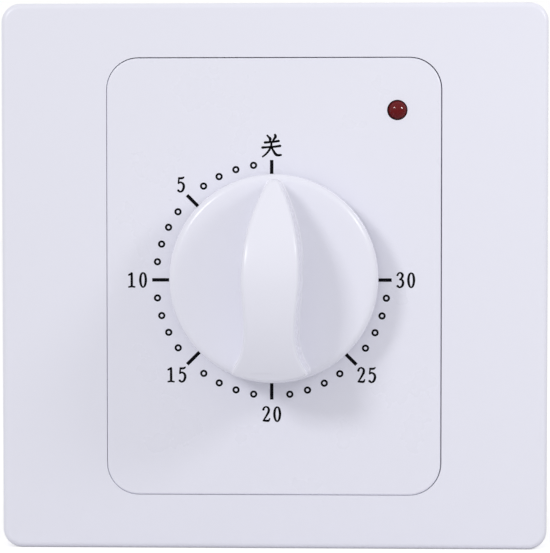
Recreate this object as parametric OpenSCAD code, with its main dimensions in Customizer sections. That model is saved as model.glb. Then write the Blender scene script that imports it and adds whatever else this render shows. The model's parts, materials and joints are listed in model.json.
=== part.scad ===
// Wall-mounted wind-up timer switch: clip-on face frame, flush dial panel, knob and pilot lamp in
// front, clockwork movement with a cam switch behind. Sizes are in millimetres.
// The front faces -Y, +Z is up, and the origin is the middle of the wall plane.

/* [Face frame] */
// Width of the face frame
plate_w = 86; // [84:0.5:90]
// Height of the face frame
plate_h = 86; // [84:0.5:90]
// Distance from the wall to the front face
face_depth = 9; // [8.8:0.1:11]
// Wall thickness of the face frame
frame_wall = 2; // [1.6:0.1:2.2]
// Corner radius of the face frame
frame_corner_r = 3; // [2.8:0.1:6]
// Rounding of the front edge
frame_edge_r = 0.9; // [0.6:0.1:1.8]
// Depth of the stiffening lip around the window
window_lip_h = 2.4; // [1:0.2:3]
// Thickness of the lip around the window
window_lip_t = 1.4; // [1:0.1:2]
// Distance of each catch from the middle of its side
catch_x = 26; // [20:1:32]
// Width of a catch
catch_w = 8; // [5:0.5:10]
// Reach of a catch under the base
catch_reach = 0.8; // [0.5:0.1:1.2]

/* [Inner panel] */
// Width of the inner panel
panel_w = 52.6; // [51:0.1:55]
// Height of the inner panel
panel_h = 68.8; // [67:0.2:72]
// Corner radius of the inner panel
panel_corner_r = 5; // [3:0.5:8]
// Rounding of the panel's front edge
panel_edge_r = 0.3; // [0.2:0.1:0.6]
// Thickness of the panel
panel_t = 2.2; // [1.8:0.1:2.6]
// Gap between panel and frame
panel_gap = 0.08; // [0.06:0.01:0.3]
// Thickness of the panel's skirt
skirt_t = 1.5; // [1.2:0.1:1.8]
// Width of a panel hook
hook_w = 6; // [4:0.5:8]
// Distance of each hook from the middle of its side
hook_y = 16; // [12:1:22]
// Reach of a hook under the base
hook_reach = 1; // [0.6:0.1:1.2]

/* [Mounting base] */
// Thickness of the base
base_t = 3.2; // [3.1:0.1:3.5]
// Gap between base and frame
base_gap = 0.3; // [0.2:0.1:0.5]
// Height of the rim around the base
base_rim_h = 2; // [1:0.5:2.5]
// Thickness of the rim around the base
base_rim_t = 1.4; // [1:0.1:2]
// Depth of the pockets for hooks and catches
pocket_depth = 1.3; // [1.1:0.1:1.6]
// Spacing of the two wall screws
slot_pitch = 60.3; // [58:0.1:63]
// Width of the wall screw slots
slot_d = 4.2; // [3.6:0.1:4.8]
// End-to-end length of the wall screw slots
slot_len = 7.2; // [5:0.2:7.4]

/* [Knob] */
// Diameter of the knob
knob_d = 32.4; // [30:0.2:36]
// Height of the knob
knob_h = 18.4; // [17:0.2:22]
// Gap between knob and panel
knob_lift = 0.6; // [0.4:0.1:1]
// Height of the knob's skirt at its rim
knob_rim_h = 5.6; // [5:0.1:7]
// Depth of the dished top of the skirt
knob_dish = 0.2; // [0.1:0.1:1.4]
// Rounding of the skirt's rim
knob_rim_r = 1; // [0.4:0.1:1.2]
// Fall of the grip's top from its middle to the rim
dome_drop = 5.5; // [4:0.1:7]
// Width of the grip at the middle
grip_w = 8.1; // [7.9:0.1:10]
// Width of the grip at its pointer end
grip_tip_w = 0.3; // [0.2:0.1:4]
// Narrowing of the grip's tail on each side
grip_waist = 1.05; // [0:0.05:1.2]
// Flare of the grip's tail on each side
grip_flare = 4.8; // [2:0.1:5.5]
// Distance of the grip's ends from the skirt's edge
grip_inset = 1.05; // [0.2:0.05:1.2]
// Wall thickness of the knob
knob_wall = 1.8; // [1.4:0.1:2]
// Distance of the dial's centre below the panel's centre
dial_drop = 0.25; // [0:0.05:0.7]

/* [Pilot lamp] */
// Distance of the lamp from the panel's right edge
lamp_side = 6.9; // [6.5:0.1:7.6]
// Distance of the lamp from the panel's top edge
lamp_top = 8.2; // [7.6:0.1:8.6]
// Diameter of the lamp
lamp_d = 3; // [2.8:0.1:3.2]
// Height of the lamp above the panel
lamp_proud = 0.8; // [0.5:0.1:1.1]
// Thickness of the lamp's circuit board
board_t = 1; // [0.8:0.1:1.1]
// Outer diameter of a lamp wire
lead_d = 1.2; // [1:0.1:1.3]

/* [Movement plates] */
// Width of the plates
move_w = 46; // [45.8:0.1:46.4]
// Height of the plates
move_h = 54; // [53.8:0.1:54.4]
// Thickness of the plates
sheet_t = 1.2; // [1:0.1:1.4]
// Distance between the plates
move_gap = 14; // [13.8:0.1:15]
// Diameter of a pillar
pillar_d = 5; // [4.6:0.1:5.2]
// Distance of a pillar's axis from the plate's edges
pillar_inset = 2.8; // [2.7:0.1:3]
// Diameter of the plate screws
screw_d = 3; // [2.8:0.1:3.2]

/* [Main arbor] */
// Diameter of the knob shaft
shaft_d = 6; // [5.6:0.1:6.2]
// Thickness of the shaft across its flat
shaft_flat = 4.5; // [4.2:0.1:4.8]
// Length of the shaft in front of the panel
shaft_len = 12; // [11:0.5:13]
// Diameter of the arbor between the plates
arbor_d = 5; // [4.6:0.1:5.2]
// Diameter of the rear pivot
pivot_d = 4; // [3.8:0.1:4.2]
// Outer diameter of the front bush
bush_d = 9; // [8.6:0.1:10]

/* [Gear train] */
// Teeth of the great wheel
great_teeth = 60;
// Module of the great wheel
great_mod = 0.5; // [0.49:0.005:0.505]
// Teeth of the second wheel
second_teeth = 56;
// Module of the second wheel
second_mod = 0.4; // [0.39:0.005:0.405]
// Teeth of the third wheel
third_teeth = 54;
// Module of the third wheel
third_mod = 0.35; // [0.34:0.005:0.36]
// Leaves of each pinion
leaves = 8;
// Backlash of each mesh
backlash = 0.06; // [0.05:0.01:0.1]
// Direction of the second arbor from the main arbor
second_angle = 48; // [47:0.5:49]
// Direction of the third arbor from the second
third_angle = 163; // [161:0.5:164]
// Direction of the escape arbor from the third
escape_angle = 185; // [182:0.5:187]
// Direction of the pallet arbor from the escape arbor
pallet_angle = 250; // [246:1:254]
// Distance of the pallet arbor from the escape arbor
pallet_reach = 8.4; // [8.2:0.1:8.8]
// Diameter of the escape wheel
escape_d = 12; // [11.4:0.1:12.2]
// Teeth of the escape wheel
escape_teeth = 15;
// Diameter of the train arbors
train_d = 1.5; // [1.2:0.1:1.6]
// Diameter of the train pivots
train_pivot_d = 1; // [0.8:0.1:1.1]

/* [Mainspring and stops] */
// Turns of the mainspring
spring_turns = 6; // [4:1:8]
// Thickness of the spring strip
spring_strip = 0.25; // [0.2:0.05:0.35]
// Width of the spring strip
spring_width = 6; // [5:0.2:6.2]
// Radius of the outermost turn
spring_r = 10.6; // [10:0.1:10.8]
// Diameter of the posts
post_d = 2.2; // [1.8:0.1:2.4]
// Distance of the posts from the main arbor
post_r = 13.3; // [13.1:0.1:13.4]
// Diameter of the stop pin
stop_pin_d = 1.6; // [1.2:0.1:1.7]
// Travel of the knob between the stops
knob_travel = 270; // [240:5:280]

/* [Switch] */
// Diameter over the cam's lobe
cam_d = 18; // [17:0.2:18.4]
// Rise of the cam's lobe
lobe_rise = 1.4; // [1:0.1:1.8]
// Thickness of the cam
cam_t = 3.3; // [3:0.1:3.6]
// Width of the contact blades
contact_w = 2.6; // [2.2:0.1:2.8]
// Thickness of the contact blades
blade_t = 0.35; // [0.3:0.05:0.45]
// Opening of the contacts at rest
contact_gap = 1; // [0.8:0.1:1.3]
// Width of the switch block
block_w = 34; // [33.6:0.1:34.4]
// Height of the switch block
block_h = 11; // [10.6:0.1:11.4]
// Depth of the switch block
block_depth = 11; // [10.6:0.1:12]
// Spacing of the two terminals
terminal_pitch = 24.8; // [24.4:0.1:25.2]
// Diameter of the wire entries
entry_d = 3.5; // [3:0.1:3.8]
// Side of a terminal clamp
clamp_side = 6; // [5.6:0.1:6.2]

/* [Fits] */
// Radial clearance of running and screwed fits
fit = 0.05; // [0.03:0.01:0.08]
// Clearance of parts that seat in pockets
seat = 0.1; // [0.05:0.01:0.2]
// End play of an arbor at each plate
end_play = 0.1; // [0.05:0.01:0.2]

/* [Hidden] */
$fn = 64;

// Overrun of a cutting solid past the face that it cuts
over = 1;
pressure_angle = 20;

// Frame, panel and base
cavity_w = plate_w - 2 * frame_wall;
cavity_h = plate_h - 2 * frame_wall;
cavity_r = frame_corner_r - frame_wall;
window_w = panel_w + 2 * panel_gap;
window_h = panel_h + 2 * panel_gap;
window_r = panel_corner_r + panel_gap;
// The panel rests down and to the left in its window, by half of its gap
panel_rest = panel_gap / 2;
base_w = cavity_w - 2 * base_gap;
base_h = cavity_h - 2 * base_gap;
base_r = max(cavity_r - base_gap, 0.3);
latch_t = pocket_depth - 3 * seat;
shaft_hole_d = shaft_d + 1;
bush_hole_d = bush_d + 4;

// Screws: countersunk, pan-headed and tapped lengths
driver_slot_w = 0.7;
driver_slot_h = 0.7;
sink_h = 0.55 * screw_d;
screw_reach = 5;
tap_depth = 6;
pan_d = 1.5 * screw_d;
pan_h = 1.6;

// Places in the movement, seen from the front with the main arbor at the centre
pillar_x = move_w / 2 - pillar_inset;
pillar_y = move_h / 2 - pillar_inset;
pillar_places = [for (sx = [-1, 1], sy = [-1, 1]) [sx * pillar_x, sy * pillar_y]];
function polar(r, a) = [r * cos(a), r * sin(a)];
second_at = polar((great_teeth + leaves) * great_mod / 2, second_angle);
third_at = second_at + polar((second_teeth + leaves) * second_mod / 2, third_angle);
escape_at = third_at + polar((third_teeth + leaves) * third_mod / 2, escape_angle);
pallet_at = escape_at + polar(pallet_reach, pallet_angle);
train_places = [second_at, third_at, escape_at, pallet_at];

// Depths in the movement, measured forwards from the wall plane
rear_z = -move_gap - sheet_t;
great_t = 1.2;
great_z = -0.6 - great_t;
pinion_overlap = 0.4;
second_t = 1;
second_z = -move_gap + 3;
third_t = 0.8;
third_z = -move_gap + 0.8;
escape_t = 0.8;
escape_z = -move_gap / 2 + 0.2;
bar_t = 1.2;
bar_z = escape_z + escape_t + 1.4;
spring_z = great_z - 1.4 - spring_width;
collar_t = 1.2;
collar_d = arbor_d + 3;
bush_z = great_z + great_t + 0.2;
bush_h = 5.6;
bush_flange_d = bush_d + 2;
bush_flange_t = 1;
plate_r = 1.5;
pivot_chamfer = 0.3;
shaft_chamfer = 0.5;

// Wheels: tooth heights in modules, hubs, and windows as shares of the pitch radius
wheel_addendum = 0.45;
wheel_dedendum = 1.1;
wheel_flank_steps = 2;
leaf_addendum = 0.85;
leaf_dedendum = 0.75;
leaf_flank_steps = 4;
window_at = 0.57;
window_size = 0.36;
hub_d = train_d + 2.5;
second_hub = 1.2;
third_hub = 0.6;
sleeve_d = train_d + 1.6;

// Stops: the pin meets the spring post at the off mark and the stop post when fully wound
stop_r = post_r - 0.1;
stop_half = 2 * asin((post_d + stop_pin_d + 2 * seat) / 4 / stop_r);
spring_post_angle = -90;
pin_angle = spring_post_angle + stop_half;
stop_post_angle = pin_angle + knob_travel + stop_half;
tenon_d = post_d - 0.6;
post_z = great_z - 0.3;
pin_z = great_z - 1.1;

// Knob
knob_r = knob_d / 2;
knob_z = face_depth + knob_lift;
knob_top = knob_z + knob_h;
dome_r = (knob_r * knob_r + dome_drop * dome_drop) / (2 * dome_drop);
shaft_top = face_depth + shaft_len;
flat_at = shaft_flat - shaft_d / 2;
flat_z = knob_z + 1.4;
clip_t = 0.35;
socket_flat = flat_at + clip_t + 2 * fit;

// Cam, ring and rear end of the arbor
cam_z = rear_z - 0.3 - cam_t;
ring_t = 0.4;
ring_groove = ring_t + 2 * seat;
ring_z = cam_z - 0.3 - ring_t;
ring_neck = pivot_d / 2 - 0.4;
ring_r = pivot_d / 2 + 1.6;
arbor_end = ring_z - 0.9;
pivot_flat = pivot_d / 2 - 0.4;
blade_z = cam_z + (cam_t - contact_w) / 2;

// Switch contacts: the lobe holds the leaf down, away from the fixed blade, at the off mark
bump_r = 1.1;
leaf_top = -(cam_d / 2 + 3 * fit + bump_r);
rivet_h = 0.5;
rivet_d = 2.2;
fixed_under = leaf_top + 2 * rivet_h + contact_gap;
rivet_x = 10.8;
blade_end = 1.4;
leaf_x = -terminal_pitch / 2 - 0.6;
fixed_x = terminal_pitch / 2 + 0.8;
block_foot = 0.5;
block_top = block_h + block_foot - move_h / 2;
block_rear = rear_z - block_depth;
tail_depth = 4.5;
clamp_y = block_top - tail_depth / 2 - 3.75;
clamp_z = rear_z - contact_w - 0.7;
head_d = 5.2;
head_h = 1.8;
block_screw_x = 3.5;
block_screw_d = 2.4;
block_head_d = 1.8 * block_screw_d;
block_head_h = 1.3;
block_recess = 3;
clamp_stand = 1.2;

// Lamp wires: from the board through a notch in each plate, then down to the switch block
lamp_x = panel_w / 2 - lamp_side;
lamp_y = panel_h / 2 - lamp_top;
wire_pitch = 1.6;
wire_clear = 0.5;
wire_x = fixed_x + 2;
wire_a_y = lamp_y + 1.2;
wire_b_y = wire_a_y + wire_pitch;
wire_a_z = rear_z - 1.8;
wire_b_z = wire_a_z - wire_pitch;
wire_bend = 3.5;
bend_z = rear_z + 2.2;
notch_half = lead_d / 2 + wire_clear;
notch_y = wire_a_y - 2 * notch_half;
wire_entry = 2.4;
wire_end_y = block_top - dial_drop - wire_entry;

// Pilot lamp: the board lies on two pads of the base
flange_d = lamp_d + 0.8;
flange_t = 1;
pin_pitch = 2.54;
pin_d = 0.5;
pin_end = 0.2;
pad_h = 0.3;
pad_d = 2.4;
peg_d = 1;
peg_h = 0.4;
peg_inset = 1.4;
resistor_d = 1.7;
resistor_len = 4.2;
resistor_cap = 0.3;
board_z = base_t + pad_h;
board_front = board_z + board_t;
board_x0 = wire_x - 2.6;
board_x1 = lamp_x + flange_d / 2 + 2;
board_y0 = lamp_y - flange_d / 2 - 1;
board_y1 = lamp_y + 5.7;
pad_places = [[board_x0 + peg_inset, board_y0 + peg_inset], [board_x1 - peg_inset, board_y1 - peg_inset]];
resistor_x = lamp_x - 2;
resistor_y = lamp_y + 3.6;

// Route of a lamp wire: x to the right, y up, z to the front
function wire_route(y, z, fall) = concat(
    [for (k = [0:4]) [wire_x, y, board_z + (bend_z - board_z) * k / 4]],
    [for (a = [22.5:22.5:67.5]) [wire_x, y - fall * (1 - cos(a)), bend_z + (z - bend_z) * sin(a)]],
    [for (k = [0:6]) [wire_x, y - fall + (wire_end_y - y + fall) * k / 6, z]]);
wire_routes = [wire_route(wire_a_y, wire_a_z, wire_bend),
               wire_route(wire_b_y, wire_b_z, wire_bend + wire_pitch)];

// Turns a shape drawn face up so that it faces the front
module upright() {
    rotate([90, 0, 0])
        children();
}

// Same, centred on the main arbor
module on_dial() {
    upright()
        translate([0, -dial_drop, 0])
            children();
}

module slab(z0, z1) {
    translate([0, 0, z0])
        linear_extrude(z1 - z0)
            children();
}

module rod(d, z0, z1) {
    translate([0, 0, z0])
        cylinder(d = d, h = z1 - z0);
}

module box(x0, x1, y0, y1, z0, z1) {
    translate([x0, y0, z0])
        cube([x1 - x0, y1 - y0, z1 - z0]);
}

module rounded_rect(w, h, r) {
    square([w - 2 * r, h], center = true);
    square([w, h - 2 * r], center = true);
    for (sx = [-1, 1], sy = [-1, 1])
        translate([sx * (w / 2 - r), sy * (h / 2 - r)])
            circle(r);
}

// Section of the material that a rounded edge takes away
module edge_section(r) {
    difference() {
        translate([-r, -r])
            square(r + over);
        translate([-r, -r])
            circle(r);
    }
}

// Takes the front edge off a slab with rounded corners
module edge_rounding(w, h, corner, r, z) {
    for (turn = [0:3]) {
        long = turn % 2 == 0 ? h : w;
        reach = turn % 2 == 0 ? w : h;
        rotate(90 * turn) {
            translate([reach / 2, long / 2 - corner, z])
                rotate([90, 0, 0])
                    linear_extrude(long - 2 * corner)
                        edge_section(r);
            translate([reach / 2 - corner, long / 2 - corner, z])
                rotate_extrude(angle = 90)
                    translate([corner, 0])
                        edge_section(r);
        }
    }
}

module d_shape(d, flat) {
    difference() {
        circle(d = d);
        translate([-d, -d - flat])
            square([2 * d, d]);
    }
}

// Face frame and inner panel

module frame_catches() {
    for (sx = [-1, 1], sy = [-1, 1])
        translate([sx * catch_x, sy * (cavity_h / 2 + (frame_wall - catch_reach - base_gap) / 2), 0])
            slab(seat, seat + latch_t)
                square([catch_w, catch_reach + base_gap + frame_wall], center = true);
}

module face_frame() {
    color("whitesmoke") upright() difference() {
        union() {
            difference() {
                slab(0, face_depth) rounded_rect(plate_w, plate_h, frame_corner_r);
                slab(-over, face_depth - frame_wall) rounded_rect(cavity_w, cavity_h, cavity_r);
            }
            slab(face_depth - frame_wall - window_lip_h, face_depth - frame_wall)
                rounded_rect(window_w + 2 * window_lip_t, window_h + 2 * window_lip_t,
                             window_r + window_lip_t);
            intersection() {
                frame_catches();
                slab(0, face_depth) square([plate_w - frame_wall, plate_h - frame_wall], center = true);
            }
        }
        slab(-over, face_depth + over) rounded_rect(window_w, window_h, window_r);
        edge_rounding(plate_w, plate_h, frame_corner_r, frame_edge_r, face_depth);
    }
}

module hook_at_each_side() {
    for (sx = [-1, 1], sy = [-1, 1])
        translate([0, sy * hook_y, 0])
            rotate(sx < 0 ? 180 : 0)
                children();
}

module panel_hook() {
    box(panel_w / 2 - skirt_t, panel_w / 2, -hook_w / 2, hook_w / 2, seat, base_t + over);
    box(panel_w / 2 - skirt_t, panel_w / 2 + hook_reach, -hook_w / 2, hook_w / 2, seat, seat + latch_t);
}

module inner_panel() {
    color("ghostwhite") upright() translate([-panel_rest, -panel_rest, 0]) difference() {
        union() {
            difference() {
                slab(base_t, face_depth) rounded_rect(panel_w, panel_h, panel_corner_r);
                slab(base_t - over, face_depth - panel_t)
                    rounded_rect(panel_w - 2 * skirt_t, panel_h - 2 * skirt_t, panel_corner_r - skirt_t);
            }
            hook_at_each_side() panel_hook();
        }
        edge_rounding(panel_w, panel_h, panel_corner_r, panel_edge_r, face_depth);
        translate([0, -dial_drop, 0])
            rod(shaft_hole_d, face_depth - panel_t - over, face_depth + over);
        translate([lamp_x, lamp_y, 0])
            rod(lamp_d + 2 * seat, face_depth - panel_t - over, face_depth + over);
    }
}

// Mounting base

module wall_slot() {
    offset_x = (slot_len - slot_d) / 2;
    for (sx = [-1, 1])
        translate([sx * offset_x, 0, 0])
            rod(slot_d, -over, base_t + over);
    box(-offset_x, offset_x, -slot_d / 2, slot_d / 2, -over, base_t + over);
}

module hook_pocket() {
    inner = panel_w / 2 - skirt_t - 2 * seat;
    half = hook_w / 2 + 2 * seat;
    box(inner, panel_w / 2 + 2 * seat, -half, half, -over, base_t + over);
    box(inner, panel_w / 2 + hook_reach + 3 * seat, -half, half, -over, pocket_depth);
}

module catch_pockets() {
    depth = catch_reach + 2 * seat;
    for (sx = [-1, 1], sy = [-1, 1])
        translate([sx * catch_x, sy * (base_h / 2 - depth / 2 + over / 2), 0])
            slab(-over, pocket_depth)
                square([catch_w + 4 * seat, depth + over], center = true);
}

module countersink() {
    rod(screw_d + 4 * fit, -over, base_t + over);
    translate([0, 0, base_t - sink_h])
        cylinder(d1 = screw_d + 2 * fit, d2 = head_d + 6 * fit, h = sink_h + fit);
}

module mounting_base() {
    color("gainsboro") upright() difference() {
        union() {
            slab(0, base_t) rounded_rect(base_w, base_h, base_r);
            difference() {
                slab(base_t - over, base_t + base_rim_h) rounded_rect(base_w, base_h, base_r);
                slab(base_t - 2 * over, base_t + base_rim_h + over)
                    square([base_w - 2 * base_rim_t, base_h - 2 * base_rim_t], center = true);
            }
            for (p = pad_places) translate(p) {
                rod(pad_d, base_t - over, board_z);
                rod(peg_d, base_t - over, board_front + peg_h);
            }
        }
        translate([0, -dial_drop, 0]) {
            slab(-over, sheet_t)
                square([move_w + 4 * seat, move_h + 4 * seat], center = true);
            rod(bush_hole_d, -over, base_t + over);
            for (p = pillar_places) translate(p) countersink();
        }
        for (sx = [-1, 1]) translate([sx * slot_pitch / 2, 0, 0]) wall_slot();
        hook_at_each_side() hook_pocket();
        catch_pockets();
        translate([wire_x, (wire_a_y + wire_b_y) / 2, 0])
            slab(-over, base_t + over)
                square([2 * notch_half, 2 * notch_half + wire_pitch], center = true);
    }
}

// Movement frame

module screw_slot(z) {
    box(-head_d, head_d, -driver_slot_w / 2, driver_slot_w / 2, z, z + over);
}

module timer_screws() {
    color("silver") on_dial() for (p = pillar_places) translate(p) difference() {
        union() {
            rod(screw_d, -screw_reach, base_t - screw_d / 2);
            translate([0, 0, base_t - sink_h])
                cylinder(d1 = screw_d, d2 = head_d + 2 * fit, h = sink_h);
        }
        screw_slot(base_t - driver_slot_h);
    }
}

module train_pivot_holes(z0, z1) {
    for (p = train_places) translate(p) rod(train_pivot_d + 2 * fit, z0, z1);
}

module screw_holes(z0, z1) {
    for (p = pillar_places) translate(p) rod(screw_d + 4 * fit, z0, z1);
}

// Notch that lets the two lamp wires past a plate
module wire_notch(z0, z1) {
    top = max(move_h / 2, wire_b_y + dial_drop) + over;
    box(wire_x - notch_half, wire_x + notch_half, notch_y + dial_drop, top, z0, z1);
}

module timer_front_plate() {
    color("lightsteelblue") on_dial() difference() {
        slab(0, sheet_t) rounded_rect(move_w, move_h, plate_r);
        rod(bush_d + 2 * fit, -over, sheet_t + over);
        train_pivot_holes(-over, sheet_t + over);
        screw_holes(-over, sheet_t + over);
        wire_notch(-over, sheet_t + over);
    }
}

module timer_rear_plate() {
    color("lightsteelblue") on_dial() difference() {
        slab(rear_z, -move_gap) rounded_rect(move_w, move_h, plate_r);
        rod(pivot_d + 2 * fit, rear_z - over, -move_gap + over);
        train_pivot_holes(rear_z - over, -move_gap + over);
        screw_holes(rear_z - over, -move_gap + over);
        wire_notch(rear_z - over, -move_gap + over);
        for (a = [spring_post_angle, stop_post_angle])
            translate(polar(post_r, a)) rod(tenon_d + 2 * fit, rear_z - over, -move_gap + over);
        for (sx = [-1, 1])
            translate([sx * block_screw_x, block_top - block_h / 2, 0])
                rod(block_screw_d + 4 * fit, rear_z - over, -move_gap + over);
    }
}

module plate_pillars() {
    color("silver") on_dial() for (p = pillar_places) translate(p) difference() {
        rod(pillar_d, -move_gap, 0);
        rod(screw_d + 2 * fit, -tap_depth, over);
        rod(screw_d + 2 * fit, -move_gap - over, -move_gap + tap_depth);
    }
}

module rear_screws() {
    color("silver") on_dial() for (p = pillar_places) translate(p) difference() {
        union() {
            rod(screw_d, rear_z, -move_gap + screw_reach);
            rod(pan_d, rear_z - pan_h, rear_z);
        }
        screw_slot(rear_z - pan_h - over + driver_slot_h);
    }
}

module front_bush() {
    color("goldenrod") on_dial() difference() {
        union() {
            rod(bush_d, bush_z, bush_z + bush_h);
            rod(bush_flange_d, sheet_t, sheet_t + bush_flange_t);
        }
        rod(shaft_d + 2 * fit, bush_z - over, bush_z + bush_h + over);
    }
}

module post(angle) {
    translate(polar(post_r, angle)) {
        rod(post_d, -move_gap, post_z);
        rod(tenon_d, rear_z, -move_gap);
    }
}

module spring_post() {
    color("silver") on_dial() post(spring_post_angle);
}

module stop_post() {
    color("silver") on_dial() post(stop_post_angle);
}

// Mainspring: a spiral strip from the arbor to a loop around the spring post

spring_in = arbor_d / 2 + 2 * seat + spring_strip / 2;
loop_r = post_d / 2 + seat;
spring_end = post_r - loop_r - spring_strip / 2;
turn_steps = 24;
spring_steps = turn_steps * spring_turns;
spring_tail = 0.5 / spring_turns;
function spring_angle(u) = spring_post_angle + 360 * spring_turns * (1 - u);
function spring_radius(u) =
    spring_in + (spring_r - spring_in) * u
    + (spring_end - spring_r) * pow(max(0, (u - 1 + spring_tail) / spring_tail), 2);
function spring_side(side) =
    [for (i = [0:spring_steps])
        polar(spring_radius(i / spring_steps) + side * spring_strip / 2, spring_angle(i / spring_steps))];
function reversed(list) = [for (i = [len(list) - 1:-1:0]) list[i]];
spring_least_gap = min([for (i = [0:spring_steps - turn_steps])
    spring_radius((i + turn_steps) / spring_steps) - spring_radius(i / spring_steps) - spring_strip]);
echo(mainspring_least_gap = spring_least_gap);

module mainspring() {
    color("slategray") on_dial() union() {
        slab(spring_z, spring_z + spring_width)
            polygon(concat(spring_side(1), reversed(spring_side(-1))));
        translate(polar(post_r, spring_post_angle)) difference() {
            rod(2 * (loop_r + spring_strip), spring_z, spring_z + spring_width);
            rod(2 * loop_r, spring_z - over, spring_z + spring_width + over);
        }
    }
}

// Knob: a domed drum, scooped out on both sides of a grip down to a dished skirt

grip_taper = 2.6;
flare_power = 4.45;
function grip_half(u) = u >= 0
    ? grip_tip_w / 2 + (grip_w - grip_tip_w) / 2 * (1 - pow(u, grip_taper))
    : grip_w / 2 + grip_waist * u + grip_flare * pow(-u, flare_power);
grip_steps = 40;
grip_span = [for (i = [0:grip_steps]) 2 * i / grip_steps - 1];
grip_side = [for (u = grip_span) [grip_half(u), u * knob_r]];

// Outline of the grip, drawn in by an inset that never closes it
module grip_outline(inset) {
    least = grip_tip_w / 4;
    polygon(concat([for (p = grip_side) [max(p[0] - inset, least), p[1]]],
                   [for (p = reversed(grip_side)) [min(inset - p[0], -least), p[1]]]));
}

module domed_drum(inset) {
    intersection() {
        rod(knob_d - 2 * inset, knob_z, knob_top + over);
        translate([0, 0, knob_top - dome_r])
            sphere(dome_r - inset);
    }
}

// Section of the scoops, from the axis out past the rim
module scoop_section() {
    floor_z = knob_rim_h - knob_dish;
    polygon([[0, floor_z], [grip_w, floor_z], [knob_r - 2 * knob_rim_r, knob_rim_h],
             [knob_r - knob_rim_r, knob_rim_h], [knob_r - knob_rim_r, knob_h + over], [0, knob_h + over]]);
    translate([knob_r, knob_rim_h])
        edge_section(knob_rim_r);
    translate([knob_r - knob_rim_r, knob_rim_h])
        square([knob_rim_r + over, knob_h]);
}

module knob_scoops() {
    difference() {
        translate([0, 0, knob_z]) rotate_extrude() scoop_section();
        slab(knob_z, knob_top + 2 * over) intersection() {
            grip_outline(0);
            circle(knob_r - grip_inset);
        }
    }
}

// Hollow underside: a ring around the boss, and the tail of the grip
module knob_cores() {
    core_h = knob_rim_h - knob_dish - knob_wall;
    boss_r = shaft_d / 2 + knob_wall;
    difference() {
        rod(knob_d - 2 * knob_wall, knob_z - over, knob_z + core_h);
        rod(2 * boss_r, knob_z - 2 * over, knob_top);
    }
    difference() {
        intersection() {
            domed_drum(knob_wall);
            slab(knob_z, knob_top) grip_outline(knob_wall);
        }
        box(-knob_r, knob_r, -boss_r, knob_r, knob_z - over, knob_top + over);
    }
}

// Round at its mouth, with a flat above that leaves room for the clip
module knob_socket() {
    difference() {
        rod(shaft_d + 2 * fit, knob_z - over, shaft_top + 3 * seat);
        box(-shaft_d, shaft_d, -shaft_d - socket_flat, -socket_flat, flat_z + 2 * seat, knob_top);
    }
}

module knob() {
    color("ghostwhite") on_dial() difference() {
        domed_drum(0);
        knob_scoops();
        knob_cores();
        knob_socket();
    }
}

module knob_clip() {
    clip_w = 2 * sqrt(pow(shaft_d / 2, 2) - pow(socket_flat, 2)) - 2 * seat;
    color("silver") on_dial()
        box(-clip_w / 2, clip_w / 2, -flat_at - fit - clip_t, -flat_at - fit, flat_z + 4 * seat, shaft_top);
}

module main_arbor() {
    color("silver") on_dial() difference() {
        rotate_extrude() polygon([
            [0, arbor_end], [pivot_d / 2 - pivot_chamfer, arbor_end],
            [pivot_d / 2, arbor_end + pivot_chamfer],
            [pivot_d / 2, ring_z - seat], [ring_neck, ring_z - seat],
            [ring_neck, ring_z - seat + ring_groove], [pivot_d / 2, ring_z - seat + ring_groove],
            [pivot_d / 2, -move_gap + end_play], [arbor_d / 2, -move_gap + end_play],
            [arbor_d / 2, great_z - collar_t], [collar_d / 2, great_z - collar_t], [collar_d / 2, great_z],
            [shaft_d / 2, great_z], [shaft_d / 2, shaft_top - shaft_chamfer],
            [shaft_d / 2 - shaft_chamfer, shaft_top], [0, shaft_top]]);
        box(-shaft_d, shaft_d, -shaft_d - flat_at, -flat_at, flat_z, shaft_top + over);
        box(-pivot_d, pivot_d, pivot_flat, pivot_d, arbor_end - over, rear_z - seat);
    }
}

// Gear teeth: involute flanks, with radial flanks below the base circle

function involute(a) = tan(a) * 180 / PI - a;
function tooth_half(r, mod, teeth) =
    let (pitch_r = mod * teeth / 2,
         base_r = pitch_r * cos(pressure_angle),
         here = acos(base_r / max(r, base_r)))
    (PI * mod - backlash) / (4 * pitch_r) * 180 / PI + involute(pressure_angle) - involute(here);
function flank_radii(mod, teeth, addendum, dedendum, steps) =
    let (root = mod * (teeth / 2 - dedendum),
         tip = mod * (teeth / 2 + addendum),
         start = max(root, mod * teeth / 2 * cos(pressure_angle)))
    concat(root < start ? [root] : [], [for (i = [0:steps]) start + (tip - start) * i / steps]);

module toothed(mod, teeth, addendum, dedendum, steps) {
    radii = flank_radii(mod, teeth, addendum, dedendum, steps);
    polygon([for (k = [0:teeth - 1])
        each concat([for (r = radii) polar(r, 360 * k / teeth - tooth_half(r, mod, teeth))],
                    [for (r = reversed(radii)) polar(r, 360 * k / teeth + tooth_half(r, mod, teeth))])]);
}

module wheel_outline(mod, teeth) {
    toothed(mod, teeth, wheel_addendum, wheel_dedendum, wheel_flank_steps);
}

module pinion_outline(mod) {
    toothed(mod, leaves, leaf_addendum, leaf_dedendum, leaf_flank_steps);
}

// Round windows that lighten a wheel
module wheel_windows(pitch_r, z0, z1) {
    windows = 5;
    for (k = [0:windows - 1])
        translate(polar(window_at * pitch_r, 360 * (k + 0.5) / windows))
            rod(window_size * pitch_r, z0, z1);
}

module great_wheel() {
    color("goldenrod") on_dial() difference() {
        slab(great_z, great_z + great_t) rotate(second_angle) wheel_outline(great_mod, great_teeth);
        rod(shaft_d + 2 * fit, great_z - over, great_z + great_t + over);
        rotate(pin_angle)
            wheel_windows(great_mod * great_teeth / 2, great_z - over, great_z + great_t + over);
        translate(polar(stop_r, pin_angle))
            rod(stop_pin_d + 2 * fit, great_z - over, great_z + great_t + over);
    }
}

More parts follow.
